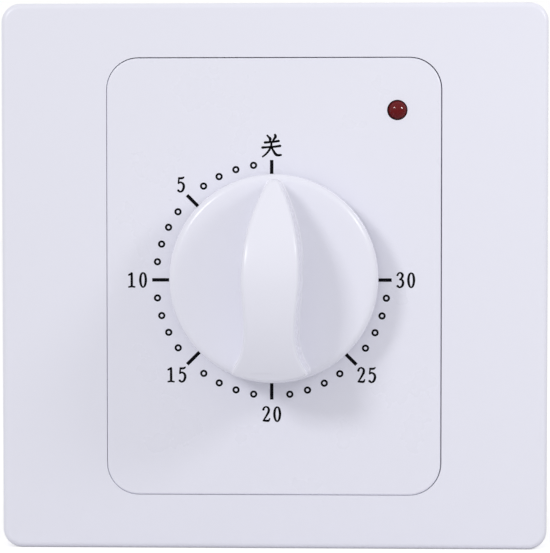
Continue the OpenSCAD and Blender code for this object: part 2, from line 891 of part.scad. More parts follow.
module stop_pin() {
    color("silver") on_dial() translate(polar(stop_r, pin_angle)) rod(stop_pin_d, pin_z, great_z + great_t);
}

// An arbor of the train with its pinion, which meshes with a wheel in the given direction
module train_arbor(mod, wheel_direction, z0, z1) {
    rod(train_d, -move_gap + end_play, -end_play);
    rod(train_pivot_d, rear_z + end_play, sheet_t - end_play);
    slab(z0, z1) rotate(wheel_direction + 180 / leaves) pinion_outline(mod);
}

// A wheel of the train on its hub, which meshes with a pinion in the given direction
module train_wheel(mod, teeth, pinion_direction, z, t, hub_t) {
    difference() {
        union() {
            slab(z, z + t) rotate(pinion_direction) wheel_outline(mod, teeth);
            rod(hub_d, z, z + t + hub_t);
        }
        rod(train_d + 2 * fit, z - over, z + t + hub_t + over);
        wheel_windows(mod * teeth / 2, z - over, z + t + over);
    }
}

module second_arbor() {
    color("silver") on_dial() translate(second_at)
        train_arbor(great_mod, second_angle + 180, great_z - pinion_overlap,
                    great_z + great_t + pinion_overlap);
}

module second_wheel() {
    color("goldenrod") on_dial() translate(second_at)
        train_wheel(second_mod, second_teeth, third_angle, second_z, second_t, second_hub);
}

module third_arbor() {
    color("silver") on_dial() translate(third_at)
        train_arbor(second_mod, third_angle + 180, second_z - pinion_overlap,
                    second_z + second_t + pinion_overlap);
}

module third_wheel() {
    color("goldenrod") on_dial() translate(third_at)
        train_wheel(third_mod, third_teeth, escape_angle, third_z, third_t, third_hub);
}

module escape_arbor() {
    color("silver") on_dial() translate(escape_at)
        train_arbor(third_mod, escape_angle + 180, third_z - pinion_overlap / 2,
                    third_z + third_t + pinion_overlap);
}

// Escape wheel: each tooth slopes up to a narrow tip, given as shares of its pitch
escape_tooth = 1.5;
tip_from = 0.62;
tip_to = 0.74;
tooth_end = 0.8;
escape_hub_d = train_d + 2;
escape_hub_t = 0.8;

module escape_wheel() {
    tip_r = escape_d / 2;
    root_r = tip_r - escape_tooth;
    step = 360 / escape_teeth;
    color("ivory") on_dial() translate(escape_at) difference() {
        union() {
            slab(escape_z, escape_z + escape_t)
                polygon([for (k = [0:escape_teeth - 1])
                    each [polar(root_r, step * k), polar(tip_r, step * (k + tip_from)),
                          polar(tip_r, step * (k + tip_to)), polar(root_r, step * (k + tooth_end))]]);
            rod(escape_hub_d, escape_z - escape_hub_t, escape_z + escape_t);
        }
        rod(train_d + 2 * fit, escape_z - 2 * over, escape_z + escape_t + over);
    }
}

// Pallets: the arms stop short of the escape wheel by the swing of the lever and a clearance
pallet_spread = 42;
pallet_clear = 0.45;
pallet_arm = 1.3;
pallet_pad_r = 1.2;
pallet_hub_r = 2;
lever_z = escape_z - 0.1;
lever_t = escape_t + 0.2;

module pallet_arbor() {
    color("silver") on_dial() translate(pallet_at) {
        rod(train_d, -move_gap + end_play, -end_play);
        rod(train_pivot_d, rear_z + end_play, sheet_t - end_play);
    }
}

module pallet_arm_to(p) {
    rotate(atan2(p[1], p[0]))
        translate([0, -pallet_arm / 2])
            square([norm(p), pallet_arm]);
    translate(p) circle(pallet_pad_r);
}

module pallet_lever() {
    pad_r = escape_d / 2 + 2 * pallet_clear;
    color("silver") on_dial() difference() {
        union() {
            slab(lever_z, lever_z + lever_t) difference() {
                translate(pallet_at) {
                    circle(pallet_hub_r);
                    for (side = [-1, 1])
                        pallet_arm_to(polar(pad_r, pallet_angle + side * pallet_spread)
                                      - polar(pallet_reach, pallet_angle));
                }
                translate(escape_at) circle(escape_d / 2 + pallet_clear);
            }
            translate(pallet_at) rod(sleeve_d, lever_z, bar_z);
        }
        translate(pallet_at) rod(train_d + 2 * fit, lever_z - over, bar_z + over);
    }
}

// Bar with a weight at each end, set square to the line to the main arbor
bar_half = 4.8;
bar_w = 1.4;
weight_d = 2.8;

module inertia_bar() {
    color("goldenrod") on_dial() translate(pallet_at) rotate(atan2(pallet_at[1], pallet_at[0]) - 90)
        difference() {
            union() {
                slab(bar_z, bar_z + bar_t) square([2 * bar_half, bar_w], center = true);
                rod(sleeve_d, bar_z, bar_z + bar_t);
                for (sx = [-1, 1]) translate([sx * bar_half, 0, 0]) rod(weight_d, bar_z, bar_z + bar_t);
            }
            rod(train_d + 2 * fit, bar_z - over, bar_z + bar_t + over);
        }
}

// Cam switch behind the rear plate

module switch_cam() {
    low_r = cam_d / 2 - lobe_rise;
    lobe_half = 12;
    color("ivory") on_dial() slab(cam_z, cam_z + cam_t) difference() {
        union() {
            circle(low_r);
            intersection() {
                circle(cam_d / 2);
                polygon([[0, 0], polar(cam_d, -90 - lobe_half), polar(cam_d, -90 + lobe_half)]);
            }
        }
        rotate(180) d_shape(pivot_d + 2 * fit, pivot_flat + fit);
    }
}

module cam_ring() {
    color("silver") on_dial() slab(ring_z, ring_z + ring_t) difference() {
        circle(ring_r);
        circle(ring_neck + fit);
        translate([0, -ring_neck]) square([2 * cam_d, 2 * ring_neck]);
    }
}

module tail_slot(x) {
    box(x - blade_t / 2 - seat, x + blade_t / 2 + seat, block_top - tail_depth - seat, block_top + over,
        blade_z - seat, blade_z + contact_w + seat);
}

module at_terminals() {
    for (sx = [-1, 1])
        translate([sx * terminal_pitch / 2, clamp_y, clamp_z - clamp_side / 2])
            children();
}

module switch_block() {
    pocket = clamp_side + 2 * seat;
    color("saddlebrown") on_dial() difference() {
        box(-block_w / 2, block_w / 2, block_top - block_h, block_top, block_rear, rear_z);
        tail_slot(leaf_x);
        tail_slot(fixed_x);
        at_terminals() {
            box(-pocket / 2, pocket / 2, -pocket / 2, pocket / 2, -block_depth, clamp_side / 2);
            rotate([90, 0, 0]) rod(entry_d, 0, block_h);
        }
        for (sx = [-1, 1])
            translate([sx * block_screw_x, block_top - block_h / 2, 0])
                rod(block_screw_d + 2 * fit, rear_z - tap_depth, rear_z + over);
        for (route = wire_routes)
            translate([wire_x, block_top - wire_entry, route[len(route) - 1][2]])
                rotate([-90, 0, 0]) rod(lead_d + 2 * seat, 0, wire_entry + over);
        // Recess across the back between the two terminals
        box(-terminal_pitch / 2 + clamp_side, terminal_pitch / 2 - clamp_side, block_top - block_h - over,
            block_top + over, block_rear - over, block_rear + block_recess);
    }
}

module block_screws() {
    color("silver") on_dial() for (sx = [-1, 1])
        translate([sx * block_screw_x, block_top - block_h / 2, 0]) difference() {
            union() {
                rod(block_screw_d, rear_z - screw_reach, -move_gap);
                rod(block_head_d, -move_gap, -move_gap + block_head_h);
            }
            screw_slot(-move_gap + block_head_h - driver_slot_h);
        }
}

module moving_contact() {
    color("peru") on_dial() slab(blade_z, blade_z + contact_w) {
        translate([leaf_x - blade_t / 2, block_top - tail_depth])
            square([blade_t, leaf_top - block_top + tail_depth]);
        difference() {
            union() {
                translate([leaf_x - blade_t / 2, leaf_top - blade_t])
                    square([rivet_x + blade_end - leaf_x, blade_t]);
                translate([0, leaf_top]) circle(bump_r);
            }
            translate([0, leaf_top]) circle(bump_r - blade_t);
            translate([-bump_r - over, leaf_top - blade_t - 2 * bump_r])
                square([2 * (bump_r + over), 2 * bump_r]);
        }
    }
}

module fixed_contact() {
    color("peru") on_dial() slab(blade_z, blade_z + contact_w) {
        translate([fixed_x - blade_t / 2, block_top - tail_depth])
            square([blade_t, fixed_under + blade_t - block_top + tail_depth]);
        translate([rivet_x - blade_end, fixed_under])
            square([fixed_x + blade_t / 2 - rivet_x + blade_end, blade_t]);
    }
}

module contact_rivets() {
    color("gainsboro") on_dial() for (y = [leaf_top, fixed_under - rivet_h])
        translate([rivet_x, y, blade_z + contact_w / 2])
            rotate([-90, 0, 0]) cylinder(d = rivet_d, h = rivet_h);
}

module terminal_clamps() {
    color("goldenrod") on_dial() at_terminals() difference() {
        cube(clamp_side, center = true);
        rotate([90, 0, 0]) cylinder(d = entry_d, h = clamp_side + 2 * over, center = true);
        rod(screw_d + 2 * fit, -clamp_side, 0);
    }
}

module terminal_screws() {
    tip = -entry_d / 2;
    under_head = -clamp_side / 2 - clamp_stand;
    color("silver") on_dial() at_terminals() difference() {
        union() {
            rod(screw_d, under_head, tip);
            rod(head_d, under_head - head_h, under_head);
        }
        screw_slot(under_head - head_h - over + driver_slot_h);
    }
}

// Pilot lamp on its board

module indicator_led() {
    color("darkred") upright() translate([lamp_x, lamp_y, 0]) {
        rod(flange_d, board_front, board_front + flange_t);
        rod(lamp_d, board_front, face_depth + lamp_proud - lamp_d / 2);
        translate([0, 0, face_depth + lamp_proud - lamp_d / 2]) sphere(d = lamp_d);
    }
}

module led_leads() {
    color("silver") upright() for (sx = [-1, 1])
        translate([lamp_x + sx * pin_pitch / 2, lamp_y, 0]) rod(pin_d, board_z - pin_end, board_front);
}

module led_board() {
    color("darkgreen") upright() difference() {
        box(board_x0, board_x1, board_y0, board_y1, board_z, board_front);
        for (p = pad_places) translate(p) rod(peg_d + 2 * fit, board_z - over, board_front + over);
        for (sx = [-1, 1])
            translate([lamp_x + sx * pin_pitch / 2, lamp_y, 0])
                rod(pin_d + 2 * fit, board_z - over, board_front + over);
    }
}

module led_resistor() {
    color("tan") upright() translate([resistor_x, resistor_y, board_front + resistor_d / 2])
        rotate([0, 90, 0]) {
            cylinder(d = resistor_d, h = resistor_len - 2 * resistor_cap, center = true);
            cylinder(d = resistor_d - resistor_cap, h = resistor_len, center = true);
        }
}

// A round wire swept along a route in the plane of constant x

wire_sides = 8;
function route_heading(route, i) =
    let (a = route[max(i - 1, 0)], b = route[min(i + 1, len(route) - 1)])
    (b - a) / norm(b - a);
function wire_ring(route, i) =
    let (along = route_heading(route, i), side = [1, 0, 0], up = cross(along, side))
    [for (k = [0:wire_sides - 1])
        route[i] + lead_d / 2 * (cos(360 * k / wire_sides) * side + sin(360 * k / wire_sides) * up)];

module swept_wire(route) {
    rings = len(route);
    points = [for (i = [0:rings - 1]) each wire_ring(route, i)];
    sides = [for (i = [0:rings - 2], k = [0:wire_sides - 1])
        let (a = i * wire_sides + k, b = i * wire_sides + (k + 1) % wire_sides)
        each [[a, b, a + wire_sides], [b, b + wire_sides, a + wire_sides]]];
    caps = [for (k = [1:wire_sides - 2])
        each [[0, k + 1, k],
              [0, k, k + 1] + [1, 1, 1] * (rings - 1) * wire_sides]];
    polyhedron(points, concat(sides, caps));
}

module led_wires() {
    color("firebrick") upright() for (route = wire_routes) swept_wire(route);
}

face_frame();
inner_panel();
mounting_base();
timer_screws();
timer_front_plate();
timer_rear_plate();
plate_pillars();
rear_screws();
front_bush();
spring_post();
stop_post();
mainspring();
knob();
knob_clip();
main_arbor();
great_wheel();
stop_pin();
switch_cam();
cam_ring();
second_arbor();
second_wheel();
third_arbor();
third_wheel();
escape_arbor();
escape_wheel();
pallet_arbor();
pallet_lever();
inertia_bar();
switch_block();
block_screws();
moving_contact();
fixed_contact();
contact_rivets();
terminal_clamps();
terminal_screws();
indicator_led();
led_leads();
led_board();
led_resistor();
led_wires();
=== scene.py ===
"""Looks of the wall-mounted timer light switch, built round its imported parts. Metres, front towards -Y."""
import json
import math

import bmesh
import bpy
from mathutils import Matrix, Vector


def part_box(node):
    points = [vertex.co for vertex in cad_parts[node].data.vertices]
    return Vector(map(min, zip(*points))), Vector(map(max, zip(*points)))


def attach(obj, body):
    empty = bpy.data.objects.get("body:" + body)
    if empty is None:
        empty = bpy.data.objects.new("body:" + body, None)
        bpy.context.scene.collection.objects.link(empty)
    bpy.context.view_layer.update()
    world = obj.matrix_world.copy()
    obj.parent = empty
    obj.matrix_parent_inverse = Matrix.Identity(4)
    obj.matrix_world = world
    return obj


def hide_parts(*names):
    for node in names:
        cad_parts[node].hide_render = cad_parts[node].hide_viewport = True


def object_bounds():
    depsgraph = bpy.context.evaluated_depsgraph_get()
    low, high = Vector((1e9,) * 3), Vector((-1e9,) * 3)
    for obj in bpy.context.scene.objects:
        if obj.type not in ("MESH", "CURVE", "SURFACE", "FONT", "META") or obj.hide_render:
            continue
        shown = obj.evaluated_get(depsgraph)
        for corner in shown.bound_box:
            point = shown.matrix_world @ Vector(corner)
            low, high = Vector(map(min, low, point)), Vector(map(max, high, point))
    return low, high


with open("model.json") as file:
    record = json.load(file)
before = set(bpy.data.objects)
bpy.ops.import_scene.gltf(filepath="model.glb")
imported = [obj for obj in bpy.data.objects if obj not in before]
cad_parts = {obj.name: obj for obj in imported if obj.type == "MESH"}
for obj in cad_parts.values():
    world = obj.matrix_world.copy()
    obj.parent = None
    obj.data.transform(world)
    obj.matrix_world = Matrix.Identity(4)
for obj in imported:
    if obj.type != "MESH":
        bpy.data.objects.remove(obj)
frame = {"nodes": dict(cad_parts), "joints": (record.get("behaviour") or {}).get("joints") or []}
cad_low, cad_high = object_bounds()
nodes = frame["nodes"]
scene = bpy.context.scene
scene.view_settings.view_transform = "Standard"
mm = 0.001


# Camera: a short way off, a little above and to the right of the plate's axis, aimed at the plate's middle.
# The plate fills the picture but for a margin of about two pixels.
picture_w = 550
plate_px = 545.2
plate_shift_px = Vector((-1.0, 0.1))
camera_distance = 332 * mm
camera_right = math.radians(1.8)
camera_up = math.radians(1.9)
camera_sensor = 36.0
camera_near = 10 * mm
camera_far = 20
plate_low, plate_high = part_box("face_frame")
edge_rounding = 0.9 * mm
metres_per_px = (plate_high.x - plate_low.x) / plate_px
plate_shift = plate_shift_px * metres_per_px
aim = Vector((-plate_shift.x, plate_low.y + edge_rounding, plate_shift.y))
towards_camera = Vector((math.tan(camera_right), -1, math.tan(camera_up))).normalized()
lens_data = bpy.data.cameras.new("camera")
lens_data.sensor_fit = "HORIZONTAL"
lens_data.sensor_width = camera_sensor
lens_data.lens = camera_sensor * camera_distance / (picture_w * metres_per_px)
lens_data.clip_start = camera_near
lens_data.clip_end = camera_far
camera = bpy.data.objects.new("camera", lens_data)
camera.location = aim + towards_camera * camera_distance
camera.rotation_euler = towards_camera.to_track_quat("Z", "Y").to_euler()
scene.collection.objects.link(camera)
scene.camera = camera


# Studio: an even white surround, a softbox in front at the upper left, a small one close by at the right,
# and a pale floor under the lower edge of the plate.
surround_level = 0.66
white_light = (1, 1, 1, 1)
world = bpy.data.worlds.new("studio")
world.use_nodes = True
scene.world = world
sky = world.node_tree
sky.nodes.clear()


def set_inputs(tree, node, values):
    """Sets a node's inputs by label or number, each to a constant or to the socket that it comes from."""
    for key, value in values.items():
        if isinstance(value, (int, float, tuple)):
            node.inputs[key].default_value = value
        else:
            tree.links.new(value, node.inputs[key])


def add_node(tree, kind, values=None, **settings):
    """The outputs of a new node with the given settings and inputs."""
    node = tree.nodes.new(kind)
    for name, setting in settings.items():
        setattr(node, name, setting)
    set_inputs(tree, node, values or {})
    return node.outputs


def number_node(tree, operation, *values):
    """The result of a Math node on constants or sockets."""
    return add_node(tree, "ShaderNodeMath", dict(enumerate(values)), operation=operation)[0]


ray = add_node(sky, "ShaderNodeLightPath")
seen = number_node(sky, "MAXIMUM", ray["Is Camera Ray"], ray["Is Glossy Ray"])
seen = number_node(sky, "MAXIMUM", seen, ray["Is Transmission Ray"])
soft_light = add_node(sky, "ShaderNodeBackground", {"Color": white_light, "Strength": surround_level})
white_surround = add_node(sky, "ShaderNodeBackground", {"Color": white_light, "Strength": 1})
surround = add_node(sky, "ShaderNodeMixShader", {0: seen, 1: soft_light[0], 2: white_surround[0]})
add_node(sky, "ShaderNodeOutputWorld", {"Surface": surround[0]})


def softbox(name, towards, distance, size, level):
    """A square lamp; level is the share of white that it gives a surface which faces it."""
    lamp = bpy.data.lights.new(name, "AREA")
    lamp.shape = "SQUARE"
    lamp.size = size
    lamp.energy = level * (math.pi * distance) ** 2
    stand = bpy.data.objects.new(name, lamp)
    place = Vector(towards).normalized() * distance
    stand.location = place
    stand.rotation_euler = place.to_track_quat("Z", "Y").to_euler()
    scene.collection.objects.link(stand)
    return stand


softbox("key_softbox", towards=(-0.50, -0.77, 0.41), distance=1.6, size=0.3, level=0.252)
softbox("side_softbox", towards=(0.72, -0.51, 0.47), distance=0.3, size=0.06, level=0.175)

# The floor glows for the camera alone, so that it looks as white as the surround and keeps its shadow
floor_half = 3.0
floor_colour = (0.72, 0.72, 0.73, 1)
floor_glow = 0.5
floor_corners = [(x * floor_half, y * floor_half, cad_low.z)
                 for x, y in ((-1, -1), (1, -1), (1, 1), (-1, 1))]
floor_mesh = bpy.data.meshes.new("floor")
floor_mesh.from_pydata(floor_corners, [], [(0, 1, 2, 3)])
floor = bpy.data.objects.new("floor", floor_mesh)
scene.collection.objects.link(floor)
floor_paint = bpy.data.materials.new("floor_paint")
floor_paint.use_nodes = True
floor_tree = floor_paint.node_tree
floor_ray = add_node(floor_tree, "ShaderNodeLightPath")
glow = number_node(floor_tree, "MULTIPLY", floor_ray["Is Camera Ray"], floor_glow)
set_inputs(floor_tree, floor_tree.nodes["Principled BSDF"], {
    "Base Color": floor_colour, "Roughness": 0.7, "Specular IOR Level": 0, "Emission Color": white_light,
    "Emission Strength": glow})
floor_mesh.materials.append(floor_paint)


# Mounting base: one moulding in matt white plastic, screwed to the wall box through two slots.
# Its mould is spark-eroded, which leaves a fine even grain, and the frame and the panel clip on to it.
cloud_per_mm = 0.09
smear_per_mm = 0.16


def effect_group(name, inputs, outputs):
    """An empty shader group with the given sockets: (label, type, default) in and (label, type) out."""
    group = bpy.data.node_groups.new(name, "ShaderNodeTree")
    for label, kind, default in inputs:
        group.interface.new_socket(label, in_out="INPUT", socket_type=kind).default_value = default
    for label, kind in outputs:
        group.interface.new_socket(label, in_out="OUTPUT", socket_type=kind)
    return group, group.nodes.new("NodeGroupInput").outputs, group.nodes.new("NodeGroupOutput").inputs


def vector_node(tree, operation, *values):
    """The outputs of a Vector Math node on constants or sockets."""
    return add_node(tree, "ShaderNodeVectorMath", dict(enumerate(values)), operation=operation)


def millimetre_place(tree):
    """Object coordinates in millimetres."""
    place = add_node(tree, "ShaderNodeTexCoord")["Object"]
    return vector_node(tree, "MULTIPLY", place, (1 / mm,) * 3)[0]


def noise_node(tree, vector, scale, detail):
    """Noise from 0 to 1; scale is in features per millimetre."""
    return add_node(tree, "ShaderNodeTexNoise", {"Vector": vector, "Scale": scale, "Detail": detail})[0]


def shaded_colour(tree, colour, shade):
    """The colour, multiplied by a shade from 0 to 1."""
    mix = tree.nodes.new("ShaderNodeMix")
    mix.data_type = "RGBA"
    mix.blend_type = "MULTIPLY"
    sockets = {socket.identifier: socket for socket in mix.inputs}
    sockets["Factor_Float"].default_value = 1
    tree.links.new(colour, sockets["A_Color"])
    tree.links.new(shade, sockets["B_Color"])
    return next(socket for socket in mix.outputs if socket.identifier == "Result_Color")


skin_inputs = [("Colour", "NodeSocketColor", (1, 1, 1, 1)), ("Cloud", "NodeSocketFloat", 0.03),
               ("Grain Size", "NodeSocketFloat", 0.3), ("Roughness", "NodeSocketFloat", 0.4),
               ("Haze", "NodeSocketFloat", 0.1)]
finish_outputs = [("Colour", "NodeSocketColor"), ("Roughness", "NodeSocketFloat"),
                  ("Height", "NodeSocketFloat")]
moulded_skin, given, made = effect_group("moulded_skin", skin_inputs, finish_outputs)
skin_place = millimetre_place(moulded_skin)
cloud = noise_node(moulded_skin, skin_place, cloud_per_mm, detail=3)
darker = number_node(moulded_skin, "MULTIPLY", cloud, given["Cloud"])
shade = number_node(moulded_skin, "SUBTRACT", 1, darker)
moulded_skin.links.new(shaded_colour(moulded_skin, given["Colour"], shade), made["Colour"])
grain_per_mm = number_node(moulded_skin, "DIVIDE", 1, given["Grain Size"])
grain = noise_node(moulded_skin, skin_place, grain_per_mm, detail=2)
moulded_skin.links.new(grain, made["Height"])
smear = noise_node(moulded_skin, skin_place, smear_per_mm, detail=4)
smear = number_node(moulded_skin, "SUBTRACT", smear, 0.5)
smear = number_node(moulded_skin, "MULTIPLY", smear, given["Haze"])
moulded_skin.links.new(number_node(moulded_skin, "ADD", smear, given["Roughness"]), made["Roughness"])


def finish_material(name, group, values, relief, metallic=0.0, specular=0.5):
    """A material whose colour, roughness and relief come from a shared finish; relief is a depth."""
    material = bpy.data.materials.new(name)
    material.use_nodes = True
    tree = material.node_tree
    finish = add_node(tree, "ShaderNodeGroup", values, node_tree=group)
    bump = add_node(tree, "ShaderNodeBump", {"Distance": relief, "Height": finish["Height"]})
    set_inputs(tree, tree.nodes["Principled BSDF"], {
        "Base Color": finish["Colour"], "Roughness": finish["Roughness"], "Normal": bump["Normal"],
        "Metallic": metallic, "Specular IOR Level": specular})
    return material


def moulded_plastic(name, colour, cloud, grain_size, relief, roughness, haze, specular=0.5):
    """Plastic with the skin that its mould gives it; grain size in millimetres."""
    values = {"Colour": (*colour, 1), "Cloud": cloud, "Grain Size": grain_size, "Roughness": roughness,
              "Haze": haze}
    return finish_material(name, moulded_skin, values, relief, specular=specular)


def dress(material, *names):
    """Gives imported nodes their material."""
    for name in names:
        nodes[name].data.materials.clear()
        nodes[name].data.materials.append(material)


base_plastic = moulded_plastic("grained_white_plastic", (0.70, 0.70, 0.73), cloud=0.06, grain_size=0.22,
                               relief=0.012 * mm, roughness=0.52, haze=0.12)
dress(base_plastic, "mounting_base")


# Movement frame: two blanked plates of zinc-plated sheet steel, held apart by four turned pillars.
# Screws from the base and from behind pull the plates on to the pillars, and two posts stand between them.
gloss_loss = 0.14


def worn_metal(group, given, made, place, lines, tarnish_per_mm, contrast, darkest):
    """Ends a metal's finish: lines and tarnish shade it and dull its gloss, and the lines are its relief."""
    tarnish = noise_node(group, place, tarnish_per_mm, detail=4)
    clean = number_node(group, "SUBTRACT", 1, number_node(group, "MULTIPLY", tarnish, given["Tarnish"]))
    lined = number_node(group, "MULTIPLY_ADD", lines, contrast, darkest)
    shade = number_node(group, "MULTIPLY", clean, lined)
    group.links.new(shaded_colour(group, given["Colour"], shade), made["Colour"])
    dull = number_node(group, "MULTIPLY", number_node(group, "ADD", lines, tarnish), gloss_loss)
    group.links.new(number_node(group, "ADD", dull, given["Roughness"]), made["Roughness"])
    group.links.new(lines, made["Height"])


line_inputs = [("Colour", "NodeSocketColor", (1, 1, 1, 1)), ("Stretch", "NodeSocketVector", (1, 1, 1)),
               ("Tarnish", "NodeSocketFloat", 0.1), ("Roughness", "NodeSocketFloat", 0.3)]
rubbed_lines, given, made = effect_group("rubbed_lines", line_inputs, finish_outputs)
line_place = millimetre_place(rubbed_lines)
stretched = vector_node(rubbed_lines, "MULTIPLY", line_place, given["Stretch"])[0]
lines = noise_node(rubbed_lines, stretched, scale=1, detail=3)
worn_metal(rubbed_lines, given, made, line_place, lines, tarnish_per_mm=0.22, contrast=0.16, darkest=0.9)


def rubbed_metal(name, colour, stretch, tarnish, roughness, relief):
    """Metal with fine lines; stretch is how many lines it has in each millimetre along X, Y and Z."""
    values = {"Colour": (*colour, 1), "Stretch": stretch, "Tarnish": tarnish, "Roughness": roughness}
    return finish_material(name, rubbed_lines, values, relief, metallic=1.0)


rolled_zinc_sheet = rubbed_metal("rolled_zinc_sheet", (0.62, 0.63, 0.64), stretch=(6, 6, 0.12), tarnish=0.3,
                                 roughness=0.26, relief=0.004 * mm)
turned_zinc_steel = rubbed_metal("turned_zinc_steel", (0.66, 0.66, 0.66), stretch=(0.5, 7, 0.5),
                                 tarnish=0.22, roughness=0.22, relief=0.003 * mm)
dress(rolled_zinc_sheet, "timer_front_plate", "timer_rear_plate")
dress(turned_zinc_steel, "plate_pillars", "timer_screws", "rear_screws", "spring_post", "stop_post")


# Main arbor: a stepped steel shaft from the knob to the cam, running in a brass bush in the front plate.
# A leaf spring on its flat grips the knob, and a pin in the great wheel meets the posts at both ends.
turned_brass = rubbed_metal("turned_brass", (0.72, 0.50, 0.20), stretch=(0.5, 7, 0.5), tarnish=0.2,
                            roughness=0.2, relief=0.003 * mm)
bright_spring_steel = rubbed_metal("bright_spring_steel", (0.50, 0.51, 0.53), stretch=(5, 0.3, 5),
                                   tarnish=0.2, roughness=0.24, relief=0.002 * mm)
dress(turned_zinc_steel, "main_arbor", "stop_pin")
dress(turned_brass, "front_bush")
dress(bright_spring_steel, "knob_clip", "cam_ring")


# Wheels of the train: blanked from hard brass sheet, faced on a lathe and riveted to steel arbors.
# Facing leaves rings round each wheel's own axis, so every wheel has its own material.
ring_inputs = [("Colour", "NodeSocketColor", (1, 1, 1, 1)), ("Centre", "NodeSocketVector", (0, 0, 0)),
               ("Ring Spacing", "NodeSocketFloat", 0.3), ("Tarnish", "NodeSocketFloat", 0.1),
               ("Roughness", "NodeSocketFloat", 0.3)]
lathe_rings, given, made = effect_group("lathe_rings", ring_inputs, finish_outputs)
ring_place = millimetre_place(lathe_rings)
from_centre = vector_node(lathe_rings, "SUBTRACT", ring_place, given["Centre"])[0]
from_axis = vector_node(lathe_rings, "MULTIPLY", from_centre, (1, 0, 1))[0]
radius = vector_node(lathe_rings, "LENGTH", from_axis)["Value"]
turn_count = number_node(lathe_rings, "DIVIDE", radius, given["Ring Spacing"])
turns = add_node(lathe_rings, "ShaderNodeTexNoise", {"W": turn_count, "Scale": 1, "Detail": 3},
                 noise_dimensions="1D")[0]
worn_metal(lathe_rings, given, made, ring_place, turns, tarnish_per_mm=0.3, contrast=0.24, darkest=0.86)
axis_of = {joint["child"]: joint["pos_m"] for joint in frame["joints"]}


def faced_brass(name, body, spacing, tarnish, roughness):
    """Brass with lathe rings round the axis of its body; spacing in millimetres."""
    centre = tuple(value / mm for value in axis_of[body])
    values = {"Colour": (0.74, 0.53, 0.21, 1), "Centre": centre, "Ring Spacing": spacing, "Tarnish": tarnish,
              "Roughness": roughness}
    return finish_material(name, lathe_rings, values, relief=0.003 * mm, metallic=1.0)


wheels = {"great_wheel": "knob_arbor", "second_wheel": "second_wheel_set", "third_wheel": "third_wheel_set"}
for wheel, body in wheels.items():
    dress(faced_brass(wheel + "_brass", body, spacing=0.22, tarnish=0.28, roughness=0.2), wheel)
dress(turned_zinc_steel, "second_arbor", "third_arbor", "escape_arbor", "pallet_arbor")


# Mainspring: a flat strip of blued spring steel, wound in a spiral from the arbor to a loop round its post.
# It is drawn at the off mark, where it is almost unwound.
spring_turns = 6
spring_steps = 72
spring_strip = 0.25 * mm
spring_inner_r = 2.825 * mm
spring_outer_r = 10.6 * mm
spring_post_r = 13.3 * mm
spring_post_angle = -90
spring_loop_r = 1.325 * mm
spring_tail_turns = 0.5
spring_low, spring_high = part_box("mainspring")
arbor_x, _, arbor_z = axis_of["knob_arbor"]


def spring_radius(turn):
    """Radius of the spiral after a number of turns; its tail swings out to the post."""
    tail = max(0, (turn - spring_turns + spring_tail_turns) / spring_tail_turns)
    reach = spring_post_r - spring_loop_r - spring_outer_r
    return spring_inner_r + (spring_outer_r - spring_inner_r) * turn / spring_turns + reach * tail ** 2


spring_line = []
for step in range(spring_turns * spring_steps + 1):
    turn = step / spring_steps
    angle = math.radians(spring_post_angle + 360 * (spring_turns - turn))
    r = spring_radius(turn)
    spring_line.append((arbor_x + r * math.cos(angle), arbor_z + r * math.sin(angle)))
for step in range(1, spring_steps + 1):
    angle = math.radians(spring_post_angle + 180 - 360 * step / spring_steps)
    spring_line.append((arbor_x + spring_loop_r * math.cos(angle),
                        arbor_z - spring_post_r + spring_loop_r * math.sin(angle)))


def ribbon_stations(line):
    """Points along a flat line with the sideways direction at each."""
    stations = []
    for index, point in enumerate(line):
        before = Vector(line[max(index - 1, 0)])
        after = Vector(line[min(index + 1, len(line) - 1)])
        along = (after - before).normalized()
        stations.append((Vector(point), Vector((-along.y, along.x))))
    return stations


merge_reach = 0.0008 * mm


def link_mesh(name, shape, material, sharp_angle=40):
    """A shown object from a finished bmesh: doubles merged, normals outwards, smooth up to the angle."""
    bmesh.ops.remove_doubles(shape, verts=shape.verts, dist=merge_reach)
    bmesh.ops.dissolve_degenerate(shape, edges=shape.edges, dist=merge_reach / 2)
    bmesh.ops.recalc_face_normals(shape, faces=shape.faces)
    mesh = bpy.data.meshes.new(name)
    shape.to_mesh(mesh)
    shape.free()
    mesh.shade_smooth()
    mesh.set_sharp_from_angle(angle=math.radians(sharp_angle))
    mesh.materials.append(material)
    piece = bpy.data.objects.new(name, mesh)
    scene.collection.objects.link(piece)
    return piece


def bar_along(shape, stations, half_widths, back_y, front_y):
    """Sweeps a bar of rectangular section along flat stations, between two depths."""
    rows = []
    for (point, side), half in zip(stations, half_widths):
        corners = [(point + side * half, back_y), (point - side * half, back_y),
                   (point - side * half, front_y), (point + side * half, front_y)]
        rows.append([shape.verts.new((corner.x, depth, corner.y)) for corner, depth in corners])
    for row, following in zip(rows, rows[1:]):
        for k in range(4):
            shape.faces.new((row[k], row[(k + 1) % 4], following[(k + 1) % 4], following[k]))
    shape.faces.new(rows[0])
    shape.faces.new(rows[-1])


strip = bmesh.new()
strip_stations = ribbon_stations(spring_line)
bar_along(strip, strip_stations, [spring_strip / 2] * len(strip_stations), spring_high.y, spring_low.y)
blued_steel = rubbed_metal("blued_spring_steel", (0.13, 0.17, 0.27), stretch=(0.4, 9, 0.4), tarnish=0.5,
                           roughness=0.2, relief=0.002 * mm)
mainspring_strip = link_mesh("mainspring_strip", strip, blued_steel)
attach(mainspring_strip, "housing")
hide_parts("mainspring")


